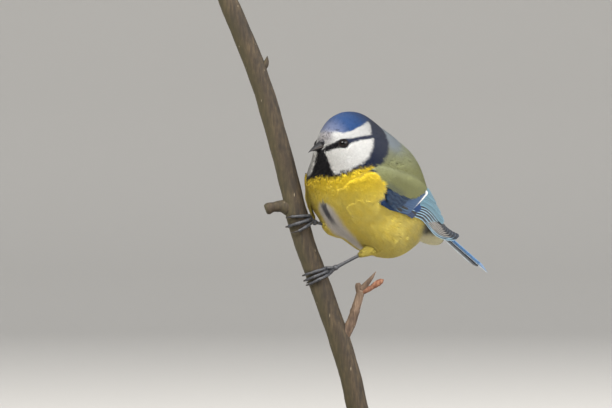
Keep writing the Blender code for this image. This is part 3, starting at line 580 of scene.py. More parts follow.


# Colours of the plumage as light reflects from it, without light and shade, apart from two darker olives that
# are painted shade: low on the belly and on the rump's side under the wing tips.
YELLOW = np.array([0.94, 0.69, 0.04])
LEMON = np.array([0.94, 0.77, 0.15])
PALE_YELLOW = np.array([0.70, 0.58, 0.17])
MOSS_SLATE = np.array([0.16, 0.20, 0.17])
PAINTED_BELLY_SHADE = np.array([0.46, 0.38, 0.09])
BROW_SHADE = 0.78
WHITE = np.array([0.86, 0.85, 0.82])
GREY_WHITE = np.array([0.36, 0.34, 0.35])
NAPE_BLUE = np.array([0.36, 0.42, 0.50])
BELLY_WHITE = np.array([0.86, 0.81, 0.75])
SKY = np.array([0.014, 0.066, 0.21])
SKY_FRONT = np.array([0.17, 0.20, 0.31])
SKY_BACK = np.array([0.015, 0.040, 0.12])
NAVY = np.array([0.017, 0.025, 0.060])
INK = np.array([0.011, 0.010, 0.013])
SMOKE = np.array([0.075, 0.078, 0.10])
MOSS = np.array([0.38, 0.39, 0.155])
MOSS_GREY = np.array([0.36, 0.38, 0.24])
RUMP_GREEN = np.array([0.42, 0.40, 0.12])
PAINTED_SHADE_OLIVE = np.array([0.105, 0.10, 0.065])
VENT = np.array([0.95, 0.88, 0.56])

# Borders of the head's markings: azimuth from straight ahead and elevation, in degrees, seen from the head's
# middle and the same on both sides.
CAP_EDGE = ((0, 26, 40, 52, 70, 96, 123, 145, 180), (41, 38, 35, 31, 32.5, 36.5, 39, 39, 37))
STRIPE_MIDDLE = ((0, 17, 28, 39, 51, 65, 81, 104, 180), (1.5, 5, 7.8, 10.7, 11.7, 13, 14.5, 12, 12))
STRIPE_HALF = ((0, 17, 28, 39, 51, 65, 81, 104), (3.8, 4.6, 5.6, 7.4, 7.2, 4.6, 3.4, 3.6))
HOOD_EDGE = ((0, 25, 36, 45, 55, 68, 76, 84, 91, 99, 117, 130, 144, 152, 160, 180),
             (-29.5, -30.5, -30.5, -29, -26.5, -24.5, -24.5, -25, -26, -24, -17, -7, 5, 14, 28, 33))
CHEEK_BACK = ((-40, -28, -21, -15, -5, 6, 15), (60, 66, 75, 86, 100, 109, 110))
BROW_BACK = ((10, 15, 27, 37, 45), (107, 109, 117, 127, 133))
BIB_EDGE = ((-34, -28, -24, -18, -12, -5, 0, 4), (29, 26, 22, 18, 15, 11.5, 8, 5))
BIB_TURN = 4.0
CHEEK_LOW = ((0, 20, 31, 38, 45, 55, 66, 76, 87, 97, 109),
             (-25, -27, -28, -28, -25.5, -24, -21.5, -18.5, -14, -8, 3))
# Edge of the green back against the yellow side, as height over distance forward in the body.
BACK_EDGE = ((-45, -30, -15, 0, 6.3, 7.4, 9.2, 10.5, 14, 18),
             (-17, -12.5, -7, -2, 1.7, 4.1, 7.4, 10.7, 16, 30))
# Half width of the belly's white band over height in the body.
BELLY_HALF = ((-24, -18, -14, -10, -6, -4, -2.5), (2.6, 3.6, 4.2, 5.0, 4.6, 2.5, -2.0))


def along(curve, x):
    return np.interp(x, curve[0], curve[1])


def paint(base, colour, share):
    return base + (colour - base) * share[:, None]


def above(value, limit, soft):
    """1 where value is past a border, 0 before it, and a soft change over a band on both sides."""
    return smooth_step(value - limit, -soft, soft)


def markings(points, ragged=None):
    """Colour of the plumage at points. ragged moves each point's place in the pattern a little."""
    h = to_head(points)
    q = to_body(points)
    turn = np.degrees(np.arctan2(h[:, 1], h[:, 0]))
    azimuth = np.abs(turn)
    height = np.degrees(np.arctan2(h[:, 2], np.hypot(h[:, 0], h[:, 1])))
    chin = np.abs(turn - BIB_TURN)
    if ragged is not None:
        azimuth = azimuth + ragged[:, 0]
        height = height + ragged[:, 1]
        chin = chin + ragged[:, 0]
        q = q + ragged * 0.3
    ahead, side, up = q[:, 0], np.abs(q[:, 1]), q[:, 2]
    cloud = 0.5 + 0.5 * np.sin(ahead * 0.9 + 2.0 * np.sin(up * 0.55)) * np.sin(q[:, 1] * 0.7 + up * 0.4)
    colour = np.tile(YELLOW, (len(points), 1))
    colour = paint(colour, LEMON, smooth_step(5.0 - up, 0.0, 9.0) * (0.55 + 0.45 * cloud))
    rear = smooth_step(-ahead, -6.0, 16.0) * smooth_step(-up, 2.0, 14.0)
    colour = paint(colour, PALE_YELLOW, rear * (0.45 + 0.5 * cloud))
    # Painted shade: the yellow darkens to olive low on the belly, which faces away from the lights.
    colour = paint(colour, PAINTED_BELLY_SHADE, 0.45 * smooth_step(-up, 13.0, 22.0))
    white = above(along(BELLY_HALF, up), side, 1.6) * smooth_step(ahead, -14.0, 4.0)
    colour = paint(colour, BELLY_WHITE, white)
    line = smooth_step(1.7 - side, -0.5, 0.8) * smooth_step(-up, 2.8, 4.8) * smooth_step(ahead, 4.0, 12.0)
    colour = paint(colour, SMOKE, (0.12 + 0.8 * smooth_step(up, -14.0, -9.0)) * line)
    colour = paint(colour, VENT, smooth_step(-ahead, 14.0, 24.0) * smooth_step(-up, 12.0, 17.0))
    # Painted shade: a dark grey-olive on the side of the rump under the wing tips, where the body lies in the
    # wing's shadow.
    shade = smooth_step(-ahead, 13.0, 20.0) * smooth_step(up, -17.5, -15.0) * smooth_step(side, 3.0, 6.0)
    colour = paint(colour, PAINTED_SHADE_OLIVE, shade)
    moss = paint(np.tile(MOSS, (len(points), 1)), MOSS_GREY, smooth_step(up, 8.0, 20.0))
    moss = paint(moss, RUMP_GREEN, smooth_step(-ahead, 22.0, 30.0))
    colour = paint(colour, moss, smooth_step(up - along(BACK_EDGE, ahead), -0.6, 0.9))
    nape = smooth_step(azimuth, 118.0, 135.0) * smooth_step(height, -24.0, -8.0)
    colour = paint(colour, NAPE_BLUE, 0.85 * nape * smooth_step(26.0 - np.linalg.norm(h, axis=1), 0.0, 5.0))
    hood = above(height, along(HOOD_EDGE, azimuth), 0.8)
    colour = paint(colour, NAVY, hood)
    colour = paint(colour, INK, hood * smooth_step(62.0 - azimuth, 0.0, 14.0))
    stripe, half = along(STRIPE_MIDDLE, azimuth), along(STRIPE_HALF, azimuth)
    cheek = (above(stripe - half, height, 0.7) * above(height, along(CHEEK_LOW, azimuth), 1.0)
             * above(along(CHEEK_BACK, height), azimuth, 1.2) * above(chin, along(BIB_EDGE, height), 1.2))
    colour = paint(colour, WHITE, cheek)
    cap_line = along(CAP_EDGE, azimuth)
    soft = 1.4 + 6.0 * smooth_step(40.0 - azimuth, 0.0, 25.0)
    brow = (above(height, stripe + half, 0.7) * above(cap_line + soft, height, 1.0)
            * above(along(BROW_BACK, height), azimuth, 1.5))
    grey = 0.9 * smooth_step(36.0 - azimuth, 0.0, 18.0) * smooth_step(height, 5.0, 26.0)
    colour = paint(colour, paint(np.tile(WHITE * BROW_SHADE, (len(points), 1)), GREY_WHITE, grey), brow)
    crown = paint(np.tile(SKY, (len(points), 1)), SKY_FRONT, smooth_step(h[:, 0], 3.0, 9.0))
    crown = paint(crown, SKY_BACK, smooth_step(-h[:, 0], -1.0, 9.0))
    return paint(colour, crown, above(height, cap_line, soft))


def body_unwrap(points):
    """Place of points on an unwrap of the body's skin: turn about its long axis, and distance along it."""
    q = to_body(points)
    turn = np.arctan2(q[:, 1], q[:, 2] + 0.12 * q[:, 0])
    run = np.arctan2(q[:, 0] - q[:, 2] * 0.2, np.hypot(q[:, 1], q[:, 2]))
    return np.stack([0.5 + turn / (2 * math.pi) * 0.96, 0.5 + run / math.pi * 0.96], axis=1)


def head_unwrap(points):
    """Place of points on an unwrap of the head's skin: azimuth and elevation from its middle."""
    h = to_head(points)
    turn = np.arctan2(h[:, 1], h[:, 0])
    rise = np.arctan2(h[:, 2], np.hypot(h[:, 0], h[:, 1]))
    return np.stack([0.5 + turn / (2 * math.pi) * 0.96, 0.5 + rise / math.pi * 0.96], axis=1)


def plumage_finish(name):
    """Feathers: the markings as painted on the mesh, with a fine silky break-up."""
    finish, tree, shader = new_material(name, 0.72, Sheen_Weight=0.05, Sheen_Roughness=0.5,
                                        Specular_IOR_Level=0.1)
    shade = ramp(tree, noise_at(tree, object_place(tree), 2600.0, 2.0), ((0.3, 0.88), (0.7, 1.0)))
    connect(tree, shader, Base_Color=mixed(tree, 1.0, painted(tree, "Col"), shade, "MULTIPLY"))
    return finish


COAT_FINISH = plumage_finish("coat_of_feathers")


def set_colours(mesh, colours, label="Col"):
    """Writes a colour for each vertex, with alpha 1 where none is given."""
    if colours.shape[1] == 3:
        colours = np.hstack([colours, np.ones((len(colours), 1))])
    layer = mesh.color_attributes.new(label, "FLOAT_COLOR", "POINT")
    layer.data.foreach_set("color", colours.astype(np.float32).ravel())


def set_bake_map(mesh, places, label="OFBake"):
    """Writes a UV map, named OFBake unless told otherwise, from one place for each vertex."""
    corner = np.empty(len(mesh.loops), np.int32)
    mesh.loops.foreach_get("vertex_index", corner)
    layer = mesh.uv_layers.new(name=label)
    layer.data.foreach_set("uv", places[corner].astype(np.float32).ravel())


def out_along(form, centre, rays):
    """Points where rays from inside a form leave it."""
    steps = np.linspace(2.0, 60.0, 117)
    inside = np.array([form(centre + rays * s) < 0 for s in steps])
    first = np.argmin(inside, axis=0)
    high, low = steps[first], steps[np.maximum(first - 1, 0)]
    for _ in range(18):
        middle = (low + high) / 2
        within = form(centre + rays * middle[:, None]) < 0
        low = np.where(within, middle, low)
        high = np.where(within, high, middle)
    return centre + rays * low[:, None]


def make_skin():
    centre = from_body([(0.0, 0.0, 4.0)])[0]
    bm = bmesh.new()
    bmesh.ops.create_icosphere(bm, subdivisions=6, radius=1.0)
    rays = np.array([v.co for v in bm.verts])
    points = out_along(skin_form, centre, rays)
    for _ in range(2):
        points = points - normals_at(skin_form, points) * skin_form(points)[:, None] * 0.9
    for vert, point in zip(bm.verts, points):
        vert.co = metres(point)
    skin = own_piece("skin", mesh_of(bm, "skin"), COAT_FINISH)
    # The skin shows between the barbs in the markings darkened by a quarter: painted shade deep in the coat,
    # and the greyer bases of the feathers.
    set_colours(skin.data, markings(points) * 0.75)
    set_bake_map(skin.data, body_unwrap(points))
    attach(skin, "root")
    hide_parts("head", "neck", "torso")
    return skin


SKIN = make_skin()

# The coat: small contour feathers rooted in the skin, each a fan of fine barbs that lies along the body from
# the bill towards the tail and overlaps the next. They are shortest round the bill and eyes.

SHARE = 1.0
COAT_LENGTH = ((0, 3, 6, 12, 20, 30, 55), (0.8, 1.1, 1.7, 2.4, 3.6, 5.0, 6.2))
TAIL_FALL = math.radians(TAIL_SLOPE)
TAIL_WAY = np.array([-math.cos(TAIL_FALL), 0.0, -math.sin(TAIL_FALL)]) @ BODY_AXES


def level(way, normals):
    """Directions turned to lie along the surface that has these normals."""
    return unit(way - normals * np.sum(way * normals, axis=1)[:, None])


def lie(points, normals):
    """Direction in which the feathers lie: away from the bill on the head, towards the tail on the body."""
    away = unit(points - (BILL_ROOT - HEAD_AXES[0] * 2.0))
    share = smooth_step(np.linalg.norm(points - HEAD_CENTRE, axis=1), 12.0, 34.0)[:, None]
    return level(away * (1.0 - share) + TAIL_WAY * share, normals)


BARB_FACES = ((2, 1, 4), (3, 2, 4), (1, 3, 4), (1, 2, 0), (2, 3, 0), (3, 1, 0))


def barb_mesh(name, base, middle, tip, side, up, half, colours, places):
    """Joins many barbs into one mesh. Each is a closed three-sided spindle of five points."""
    count = len(base)
    wide = half[:, None]
    points = np.stack([base, middle + side * wide, middle - side * wide, middle - up * wide * 0.6, tip],
                      axis=1)
    faces = np.array(BARB_FACES)
    corner = (faces.ravel()[None] + (np.arange(count) * 5)[:, None]).ravel()
    mesh = bpy.data.meshes.new(name)
    mesh.vertices.add(count * 5)
    mesh.vertices.foreach_set("co", (points * MM).astype(np.float32).ravel())
    mesh.loops.add(len(corner))
    mesh.loops.foreach_set("vertex_index", corner.astype(np.int32))
    mesh.polygons.add(count * len(faces))
    mesh.polygons.foreach_set("loop_start", np.arange(0, len(corner), 3, dtype=np.int32))
    mesh.polygons.foreach_set("loop_total", np.full(count * len(faces), 3, np.int32))
    mesh.update(calc_edges=True)
    # Painted shade and light along each barb: darkest at the root, darker on its lower side and a little
    # brighter at the tip; the dark root is also the grey base of a real feather.
    depth = np.array([0.72, 0.93, 0.93, 0.85, 1.05])
    set_colours(mesh, (colours[:, None] * depth[None, :, None]).reshape(-1, 3))
    spread = np.array([(0, -1), (1, 0), (-1, 0), (0, 0), (0, 1)]) * 0.0014
    set_bake_map(mesh, (places[:, None] + spread[None]).reshape(-1, 2))
    return mesh


def spots_on(mesh, count, weight, seed):
    """Random places on a mesh, in millimetres, more of them where weight is high."""
    mesh.calc_loop_triangles()
    corners = np.empty(len(mesh.loop_triangles) * 3, np.int32)
    mesh.loop_triangles.foreach_get("vertices", corners)
    co = np.empty(len(mesh.vertices) * 3)
    mesh.vertices.foreach_get("co", co)
    t = (co.reshape(-1, 3) / MM)[corners.reshape(-1, 3)]
    area = np.linalg.norm(np.cross(t[:, 1] - t[:, 0], t[:, 2] - t[:, 0]), axis=1)
    chance = np.cumsum(area * weight(t.mean(axis=1)))
    draw = np.random.default_rng(seed)
    pick = np.searchsorted(chance, draw.random(count) * chance[-1])
    a, b = draw.random(count), draw.random(count)
    flip = a + b > 1
    a, b = np.where(flip, 1 - a, a), np.where(flip, 1 - b, b)
    t = t[pick]
    return t[:, 0] + (t[:, 1] - t[:, 0]) * a[:, None] + (t[:, 2] - t[:, 0]) * b[:, None]


def bird_side(points):
    return to_body(points)[:, 1]


def grow(name, roots, barbs, seed, unwrap, length=None, height=None, way=None, splay=0.42,
         ruffle=0.12, colour=None, raised=0.0, within=None):
    """Grows one feather of several barbs at each root, over the coat's outside or at a height above it."""
    draw = np.random.default_rng(seed)
    normals = normals_at(plumage, roots)
    forward = lie(roots, normals)
    if way is not None:
        forward = level(forward * 0.35 + way, normals)
    turn = draw.normal(0.0, ruffle, len(roots))
    across = np.cross(normals, forward)
    forward, across = (forward * np.cos(turn)[:, None] + across * np.sin(turn)[:, None],
                       across * np.cos(turn)[:, None] - forward * np.sin(turn)[:, None])
    if length is None:
        length = along(COAT_LENGTH, np.linalg.norm(roots - BILL_ROOT, axis=1))
    length = length * draw.uniform(0.8, 1.15, len(roots))
    depth = coat_depth(roots)
    lift = draw.normal(0.0, 0.04, len(roots))
    lift = lift + raised * draw.random(len(roots)) * (draw.random(len(roots)) < 0.1)
    repeat = np.repeat(np.arange(len(roots)), barbs)
    place = np.tile(np.linspace(-1.0, 1.0, barbs), len(roots)) + draw.normal(0.0, 0.12, len(repeat))
    run = length[repeat] * (1.0 - 0.25 * place**2) * draw.uniform(0.88, 1.08, len(repeat))
    wide = length[repeat] * splay
    root, ahead, left = roots[repeat], forward[repeat], across[repeat]
    stations = []
    for share, spread, low in ((0.0, 0.3, 1.0), (0.5, 0.8, 0.3), (1.0, 1.0, 0.0)):
        at = root + ahead * (run * share)[:, None] + left * (wide * 0.5 * spread * place)[:, None]
        top = 0.0 if height is None else height(at)
        target = top + lift[repeat] * share - depth[repeat] * low
        for _ in range(2):
            at = at + normals_at(plumage, at) * (target - plumage(at))[:, None]
        stations.append(at)
    base, middle, tip = stations
    ragged = draw.normal(0.0, 0.9, (len(roots), 3))[repeat] + draw.normal(0.0, 0.4, (len(repeat), 3))
    tint = markings(tip, ragged) if colour is None else colour(tip)
    tint = tint * draw.uniform(0.92, 1.06, len(roots))[repeat][:, None]
    keep = np.all([eye_distance(at) > clear for at, clear in zip(stations, EYE_CLEAR)], axis=0)
    ahead, aside, above_bill = to_head(tip).T
    on_ridge = (ahead > 12.9) & (np.abs(aside) < 1.9) & (above_bill > 0.6) & (above_bill < 4.7)
    keep &= ~on_ridge
    if within is not None:
        keep &= within(tip, draw.normal(0.0, 0.35, len(roots))[repeat])
    return bundle(name, base[keep], middle[keep], tip[keep], normals_at(plumage, middle)[keep],
                  length[repeat][keep], tint[keep], unwrap(root[keep]), draw)


def bundle(name, base, middle, tip, up, length, tint, places, draw, width=1.0):
    """Makes one coat piece of barbs from their three stations."""
    side = unit(np.cross(tip - base, up))
    half = (0.035 + 0.017 * length) * draw.uniform(0.75, 1.2, len(base)) * width
    tint = tint * draw.uniform(0.93, 1.05, len(base))[:, None]
    piece = own_piece(name, barb_mesh(name, base, middle, tip, side, up, half, tint, places), COAT_FINISH)
    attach(piece, "root")
    return piece


def head_reach(points):
    return np.linalg.norm(points - HEAD_CENTRE, axis=1)


def on_head(points):
    return head_reach(points) < 17.0


HEAD_FEATHERS = int(3400 * SHARE)
BODY_FEATHERS = int(2350 * SHARE)


def make_coat():
    """The coat in pieces: face, crown and nape, then breast, sides and back."""
    def head(test, more_behind=0.0):
        def weight(p):
            ahead, _, up = to_head(p).T
            even = on_head(p) & test(ahead, bird_side(p), up)
            return even * (1.0 + more_behind * smooth_step(-ahead, -16.0, -9.0))
        return weight

    def body(test):
        return lambda p: (~on_head(p) & test(*to_body(p).T)).astype(float)

    heads = (("coat_face_left", head(lambda ahead, left, up: (ahead > 3.0) & (left >= 0), 2.5)),
             ("coat_face_right", head(lambda ahead, left, up: (ahead > 3.0) & (left < 0), 2.5)),
             ("coat_crown", head(lambda ahead, left, up: (ahead <= 3.0) & (up > 1.0))),
             ("coat_nape", head(lambda ahead, left, up: (ahead <= 3.0) & (up <= 1.0))))
    for k, (name, test) in enumerate(heads):
        grow(name, spots_on(SKIN.data, HEAD_FEATHERS, test, 11 + k), 6, 31 + k, head_unwrap, raised=0.15)
    bodies = (("coat_breast_left", lambda ahead, left, up: (ahead > 6.0) & (left >= 0)),
              ("coat_breast_right", lambda ahead, left, up: (ahead > 6.0) & (left < 0)),
              ("coat_side_left", lambda ahead, left, up: (ahead <= 6.0) & (left >= 0) & (up <= 2.0)),
              ("coat_side_right", lambda ahead, left, up: (ahead <= 6.0) & (left < 0) & (up <= 2.0)),
              ("coat_back", lambda ahead, left, up: (ahead <= 6.0) & (up > 2.0)))
    for k, (name, test) in enumerate(bodies):
        grow(name, spots_on(SKIN.data, BODY_FEATHERS, body(test), 51 + k), 8, 71 + k, body_unwrap,
             raised=0.12, ruffle=0.08, splay=0.34)


make_coat()

# The folded wings: long primaries under a fan of blue-edged secondaries and three broad tertials, and over
# them a row of greater coverts with white tips. Each feather is a thin blade with its shaft nearer the outer
# edge. The small coverts at the bend are soft and are grown with the coat over the wing.

WRIST = np.array([11.0, 20.5, 4.0])
WING_TIP = np.array([-43.5, 5.5, -16.4])
WING_LEAN = 35.0
WING_BED = ((-30.0, 0.0, -12.6), (22.0, 8.0, 8.6), 32.0)
WING_ALONG = unit(WING_TIP - WRIST)
WING_LENGTH = float(np.linalg.norm(WING_TIP - WRIST))
VANE_ACROSS = np.array([-1.0, -0.86, -0.66, -0.45, -0.34, -0.3, -0.26, -0.1, 0.2, 0.5, 0.75, 0.92, 1.0])
SHAFT = -0.3
VANE_THICKNESS = 0.11

DEEP_BLUE = (0.017, 0.036, 0.095)
COVERT_BLUE = (0.028, 0.060, 0.125)
COVERT_EDGE = (0.036, 0.075, 0.15)
BEND_BLUE = (0.024, 0.048, 0.105)
BEND_STREAK = (0.058, 0.112, 0.205)
PAD_BLUE = (0.02, 0.045, 0.12)
PALE_BLUE = (0.28, 0.45, 0.57)
TEAL = (0.085, 0.175, 0.225)
TEAL_EDGE = (0.13, 0.25, 0.31)
TEAL_TIP = (0.22, 0.33, 0.38)
VANE_BLACK = (0.010, 0.011, 0.014)
SMOKE_BLUE = (0.035, 0.055, 0.085)
BUFF_WHITE = (0.40, 0.37, 0.33)
BAR_WHITE = (0.80, 0.78, 0.74)
TAIL_BLUE = (0.13, 0.33, 0.64)
TAIL_WHITE = (0.62, 0.70, 0.76)


def wing_axes():
    """Directions out from a folded wing and across it, in the body's axes on the left side."""
    lean = math.radians(WING_LEAN)
    out = np.array([-0.5 * math.sin(lean), math.cos(lean), 0.85 * math.sin(lean)])
    out = unit(out - WING_ALONG * (out @ WING_ALONG))
    across = np.cross(out, WING_ALONG)
    return out, across if across[2] > 0 else -across


WING_OUT, WING_ACROSS = wing_axes()


def wing_bed(points):
    """The form that the folded wings lie on: the coat with a low swelling over the rump."""
    return blend(plumage(points), ellipsoid(to_body(points), WING_BED), 9.0)


def on_wing(chart, lift):
    """Points over the wing's bed, in the body's axes: chart holds distances along and across the wing."""
    start = WRIST + chart[:, :1] * WING_ALONG + chart[:, 1:2] * WING_ACROSS + WING_OUT * 22.0
    skin = meet(wing_bed, from_body(start), -WING_OUT @ BODY_AXES, 60.0)
    return to_body(skin + lift[:, None] * normals_at(wing_bed, skin))


def deck_terms(s, t):
    """Powers of the places along and across the wing that the deck's height is made of."""
    u = (s - 30.0) / 20.0
    v = t / 8.0
    return np.stack([u**0, u, u**2, u**3, v, u * v, v**2, u * v**2, u**2 * v], axis=1)


def fit_deck():
    """A smooth surface near the wing's bed, for the stiff feathers that don't follow its hollows."""
    s, t = (grid.ravel() for grid in np.meshgrid(np.arange(10.0, 57.0, 2.0), np.arange(-8.0, 7.0, 1.0)))
    inner = (t < 10.1 - 0.12 * s) & (t > -8.1 + 0.3 * np.clip(s - 40.0, 0.0, 20.0))
    s, t = s[inner], t[inner]
    bed = (on_wing(np.stack([s, t], axis=1), np.zeros(len(s))) - WRIST) @ WING_OUT
    return np.linalg.lstsq(deck_terms(s, t), bed, rcond=None)[0]


DECK = fit_deck()


def vane_outline(share, blunt):
    """Half the width of a feather along its length, as a share of the widest."""
    rise = 0.62 + 0.38 * smooth_step(share, 0.0, 0.3)
    start = 1.0 - blunt
    end = np.sqrt(np.clip(1.0 - ((share - start) / blunt) ** 2, 0.0, 1.0))
    return rise * np.where(share > start, np.maximum(end, 0.12), 1.0)


def plate_faces(shape):
    """Faces of a closed plate: a grid of points, the same grid again under it, and the rim between them."""
    grid = np.arange(shape[0] * shape[1]).reshape(shape)
    sheet = np.stack([grid[:-1, :-1], grid[1:, :-1], grid[1:, 1:], grid[:-1, 1:]], axis=-1).reshape(-1, 4)
    rim = np.concatenate([grid[0, :], grid[1:, -1], grid[-1, -2::-1], grid[-2:0:-1, 0]])
    follow = np.roll(rim, -1)
    skirt = np.stack([rim, follow, follow + grid.size, rim + grid.size], axis=-1)
    return np.concatenate([sheet, sheet[:, ::-1] + grid.size, skirt[:, ::-1]])


def mesh_from(name, points, faces):
    """A mesh of points in millimetres, with its faces turned outwards."""
    rough = bpy.data.meshes.new(name)
    rough.from_pydata((points * MM).tolist(), [], faces.tolist())
    bm = bmesh.new()
    bm.from_mesh(rough)
    bpy.data.meshes.remove(rough)
    return mesh_of(bm, name)


class Vanes:
    """Collects blades of one piece as arrays and joins them into a mesh."""

    def __init__(self):
        self.rows = {key: [] for key in ("points", "faces", "Web", "Edge", "Tip", "OFBake", "Vane", "Barb")}
        self.count = 0
        self.size = 0

    def add(self, place, half, blunt, web, edge, tip, edge_width, tip_width, steps=16):
        """place(across, share, above) gives points of the blade for arrays of places on it."""
        share = 1.0 - (1.0 - np.linspace(0.0, 1.0, steps)) ** 1.5
        u, v = np.meshgrid(VANE_ACROSS, share, indexing="ij")
        u, v = u.ravel(), v.ravel()
        draw = np.random.default_rng(7000 + self.count)
        ragged = np.where(np.abs(u) > 0.8, draw.normal(0.0, 0.035, len(u)), 0.0)
        across = (u + ragged) * half * vane_outline(v, blunt)
        ridge = 0.07 * np.exp(-((u - SHAFT) / 0.03) ** 2) * (1.0 - v)
        top = place(across, v, VANE_THICKNESS * (1.0 - 0.7 * np.abs(u) ** 3) + ridge)
        under = place(across, v, np.zeros(len(u)))
        middle = len(VANE_ACROSS) // 2 * steps
        length = np.linalg.norm(top[middle + steps - 1] - top[middle])
        u, v = np.tile(u, 2), np.tile(v, 2)
        places = np.stack([u * 0.5 + 0.5, v], axis=1)
        cell = np.array([self.count % 10, self.count // 10]) * 0.1
        made = {"points": np.vstack([top, under]),
                "faces": plate_faces((len(VANE_ACROSS), steps)) + self.size,
                "Web": np.tile((*web, 1.0), (len(u), 1)), "Edge": np.tile((*edge, edge_width), (len(u), 1)),
                "Tip": np.tile((*tip, tip_width), (len(u), 1)), "OFBake": cell + 0.005 + places * 0.09,
                "Vane": places, "Barb": np.stack([(u - SHAFT) * half, v * length], axis=1)}
        for key, rows in made.items():
            self.rows[key].append(rows)
        self.size += len(u)
        self.count += 1

    def piece(self, name, finish):
        rows = {key: np.vstack(parts) for key, parts in self.rows.items()}
        mesh = mesh_from(name, rows["points"], rows["faces"])
        for label in ("Web", "Edge", "Tip"):
            set_colours(mesh, rows[label], label)
        for label in ("OFBake", "Vane", "Barb"):
            set_bake_map(mesh, rows[label], label)
        return own_piece(name, mesh, finish)


def vane_finish():
    """A flight feather: dark web, a coloured outer edge and tip, a dark shaft, and barbs slanting from it."""
    finish, tree, shader = new_material("flight_feather", 0.5, Specular_IOR_Level=0.4, Sheen_Weight=0.1)

    def split(label):
        return node(tree, "SeparateXYZ", Vector=node(tree, "UVMap", uv_map=label).outputs["UV"]).outputs

    def mask(value, low, high):
        reach = node(tree, "MapRange", interpolation_type="SMOOTHSTEP", Value=value, From_Min=low,
                     From_Max=high)
        return reach.outputs["Result"]

    vane, barb = split("Vane"), split("Barb")
    off_shaft = maths(tree, "ABSOLUTE", barb["X"])
    run = maths(tree, "SUBTRACT", barb["Y"], maths(tree, "MULTIPLY", off_shaft, 1.1))
    wave = maths(tree, "SINE", maths(tree, "MULTIPLY", run, 26.0))
    edge_share = mask(maths(tree, "SUBTRACT", painted(tree, "Edge", "Alpha"), vane["X"]), -0.03, 0.05)
    back = maths(tree, "SUBTRACT", vane["Y"], 1.0)
    tip_share = mask(maths(tree, "ADD", back, painted(tree, "Tip", "Alpha")), -0.04, 0.06)
    colour = mixed(tree, edge_share, painted(tree, "Web"), painted(tree, "Edge"))
    colour = mixed(tree, tip_share, colour, painted(tree, "Tip"))
    colour = mixed(tree, mask(off_shaft, 0.09, 0.03), colour, (0.35, 0.33, 0.33, 1.0), "MULTIPLY")
    lines = maths(tree, "ADD", maths(tree, "MULTIPLY", wave, 0.5), 0.5)
    colour = mixed(tree, 1.0, colour, ramp(tree, lines, ((0.0, 0.80), (1.0, 1.0))), "MULTIPLY")
    connect(tree, shader, Base_Color=colour, Normal=bumped(tree, wave, 0.25, 0.00006))
    return finish


VANE_FINISH = vane_finish()


def wing_tiers():
    """Each feather of a folded wing: root, tip, half width, lift, tilt, colours, widths of edge and tip."""
    rows = []
    for i, t in enumerate(np.linspace(0.0, 1.0, 8)):
        edge = BUFF_WHITE if i > 1 else PALE_BLUE
        rows.append(((25.0 + 3 * t, -6.6 + 3.2 * t), (WING_LENGTH - 12.5 * t, -2.0 + 1.4 * t), 1.25,
                     0.3 + 0.06 * i, 0.12, VANE_BLACK, edge, SMOKE_BLUE, 0.09, 0.03))
    for i, t in enumerate(np.linspace(0.0, 1.0, 6)):
        rows.append(((17.3 + 1.4 * t, -6.9 + 3.4 * t), (31.0 + 13.5 * t, -6.3 + 6.0 * t), 1.0,
                     0.95 + 0.06 * i, 0.10, VANE_BLACK, PALE_BLUE, SMOKE_BLUE, 0.13, 0.0))
    tertials = (((18.5, -2.9), (47.5, 0.3), 1.7), ((20.0, -1.2), (43.5, 2.4), 2.0),
                ((21.5, 1.2), (38.0, 4.8), 2.3))
    for i, (root, tip, half) in enumerate(tertials):
        rows.append((root, tip, half, 1.35 + 0.12 * i, 0.06, TEAL, TEAL_EDGE, TEAL_TIP, 0.10, 0.03))
    for i, t in enumerate(np.linspace(0.0, 1.0, 3)):
        rows.append(((12.0 + t, -6.4 + 0.8 * t), (20.5 + t, -8.0 + 0.9 * t), 0.6,
                     1.2 + 0.05 * i, 0.08, VANE_BLACK, DEEP_BLUE, VANE_BLACK, 0.35, 0.0))
    shade = np.array(COVERT_BLUE) * 1.5
    for i, t in enumerate(np.linspace(0.0, 1.0, 12)):
        white = tuple(shade + (np.array(BAR_WHITE) - shade) * smooth_step(t, 0.15, 0.7))
        rows.append(((8.5 + 6.5 * t, -5.6 + 6.4 * t), (17.3 + 6.6 * t, -7.0 + 8.2 * t), 1.0 + 0.3 * t,
                     1.95 + 0.03 * i, 0.06, COVERT_BLUE, COVERT_EDGE, white, 0.2, 0.05 + 0.13 * t))
    for i in range(2):
        rows.append(((7.4 + 1.3 * i, -5.5 + 0.2 * i), (13.4 + 2.0 * i, -7.3 + 0.7 * i), 0.42,
                     2.65 + 0.05 * i, 0.1, VANE_BLACK, (0.12, 0.22, 0.32), DEEP_BLUE, 0.12, 0.0))
    return rows


def blade_place(root, tip, lift, tilt):
    """A function for places on one wing feather, in the body's axes on the left side."""
    root, tip = np.array(root), np.array(tip)
    way = unit(tip - root)
    side = np.array([-way[1], way[0]])

    def place(across, share, above):
        chart = root + (tip - root) * share[:, None] + side * across[:, None]
        high = lift - 0.3 * share - tilt * across + above
        s, t = chart[:, 0], chart[:, 1]
        bed = (on_wing(chart, np.zeros(len(s))) - WRIST) @ WING_OUT
        deck = deck_terms(s, t) @ DECK + 0.75 * smooth_step(s, 20.0, 26.0)
        out = bed + (deck - bed) * smooth_step(s, 12.0, 19.0) + high
        return WRIST + s[:, None] * WING_ALONG + t[:, None] * WING_ACROSS + out[:, None] * WING_OUT

    return place


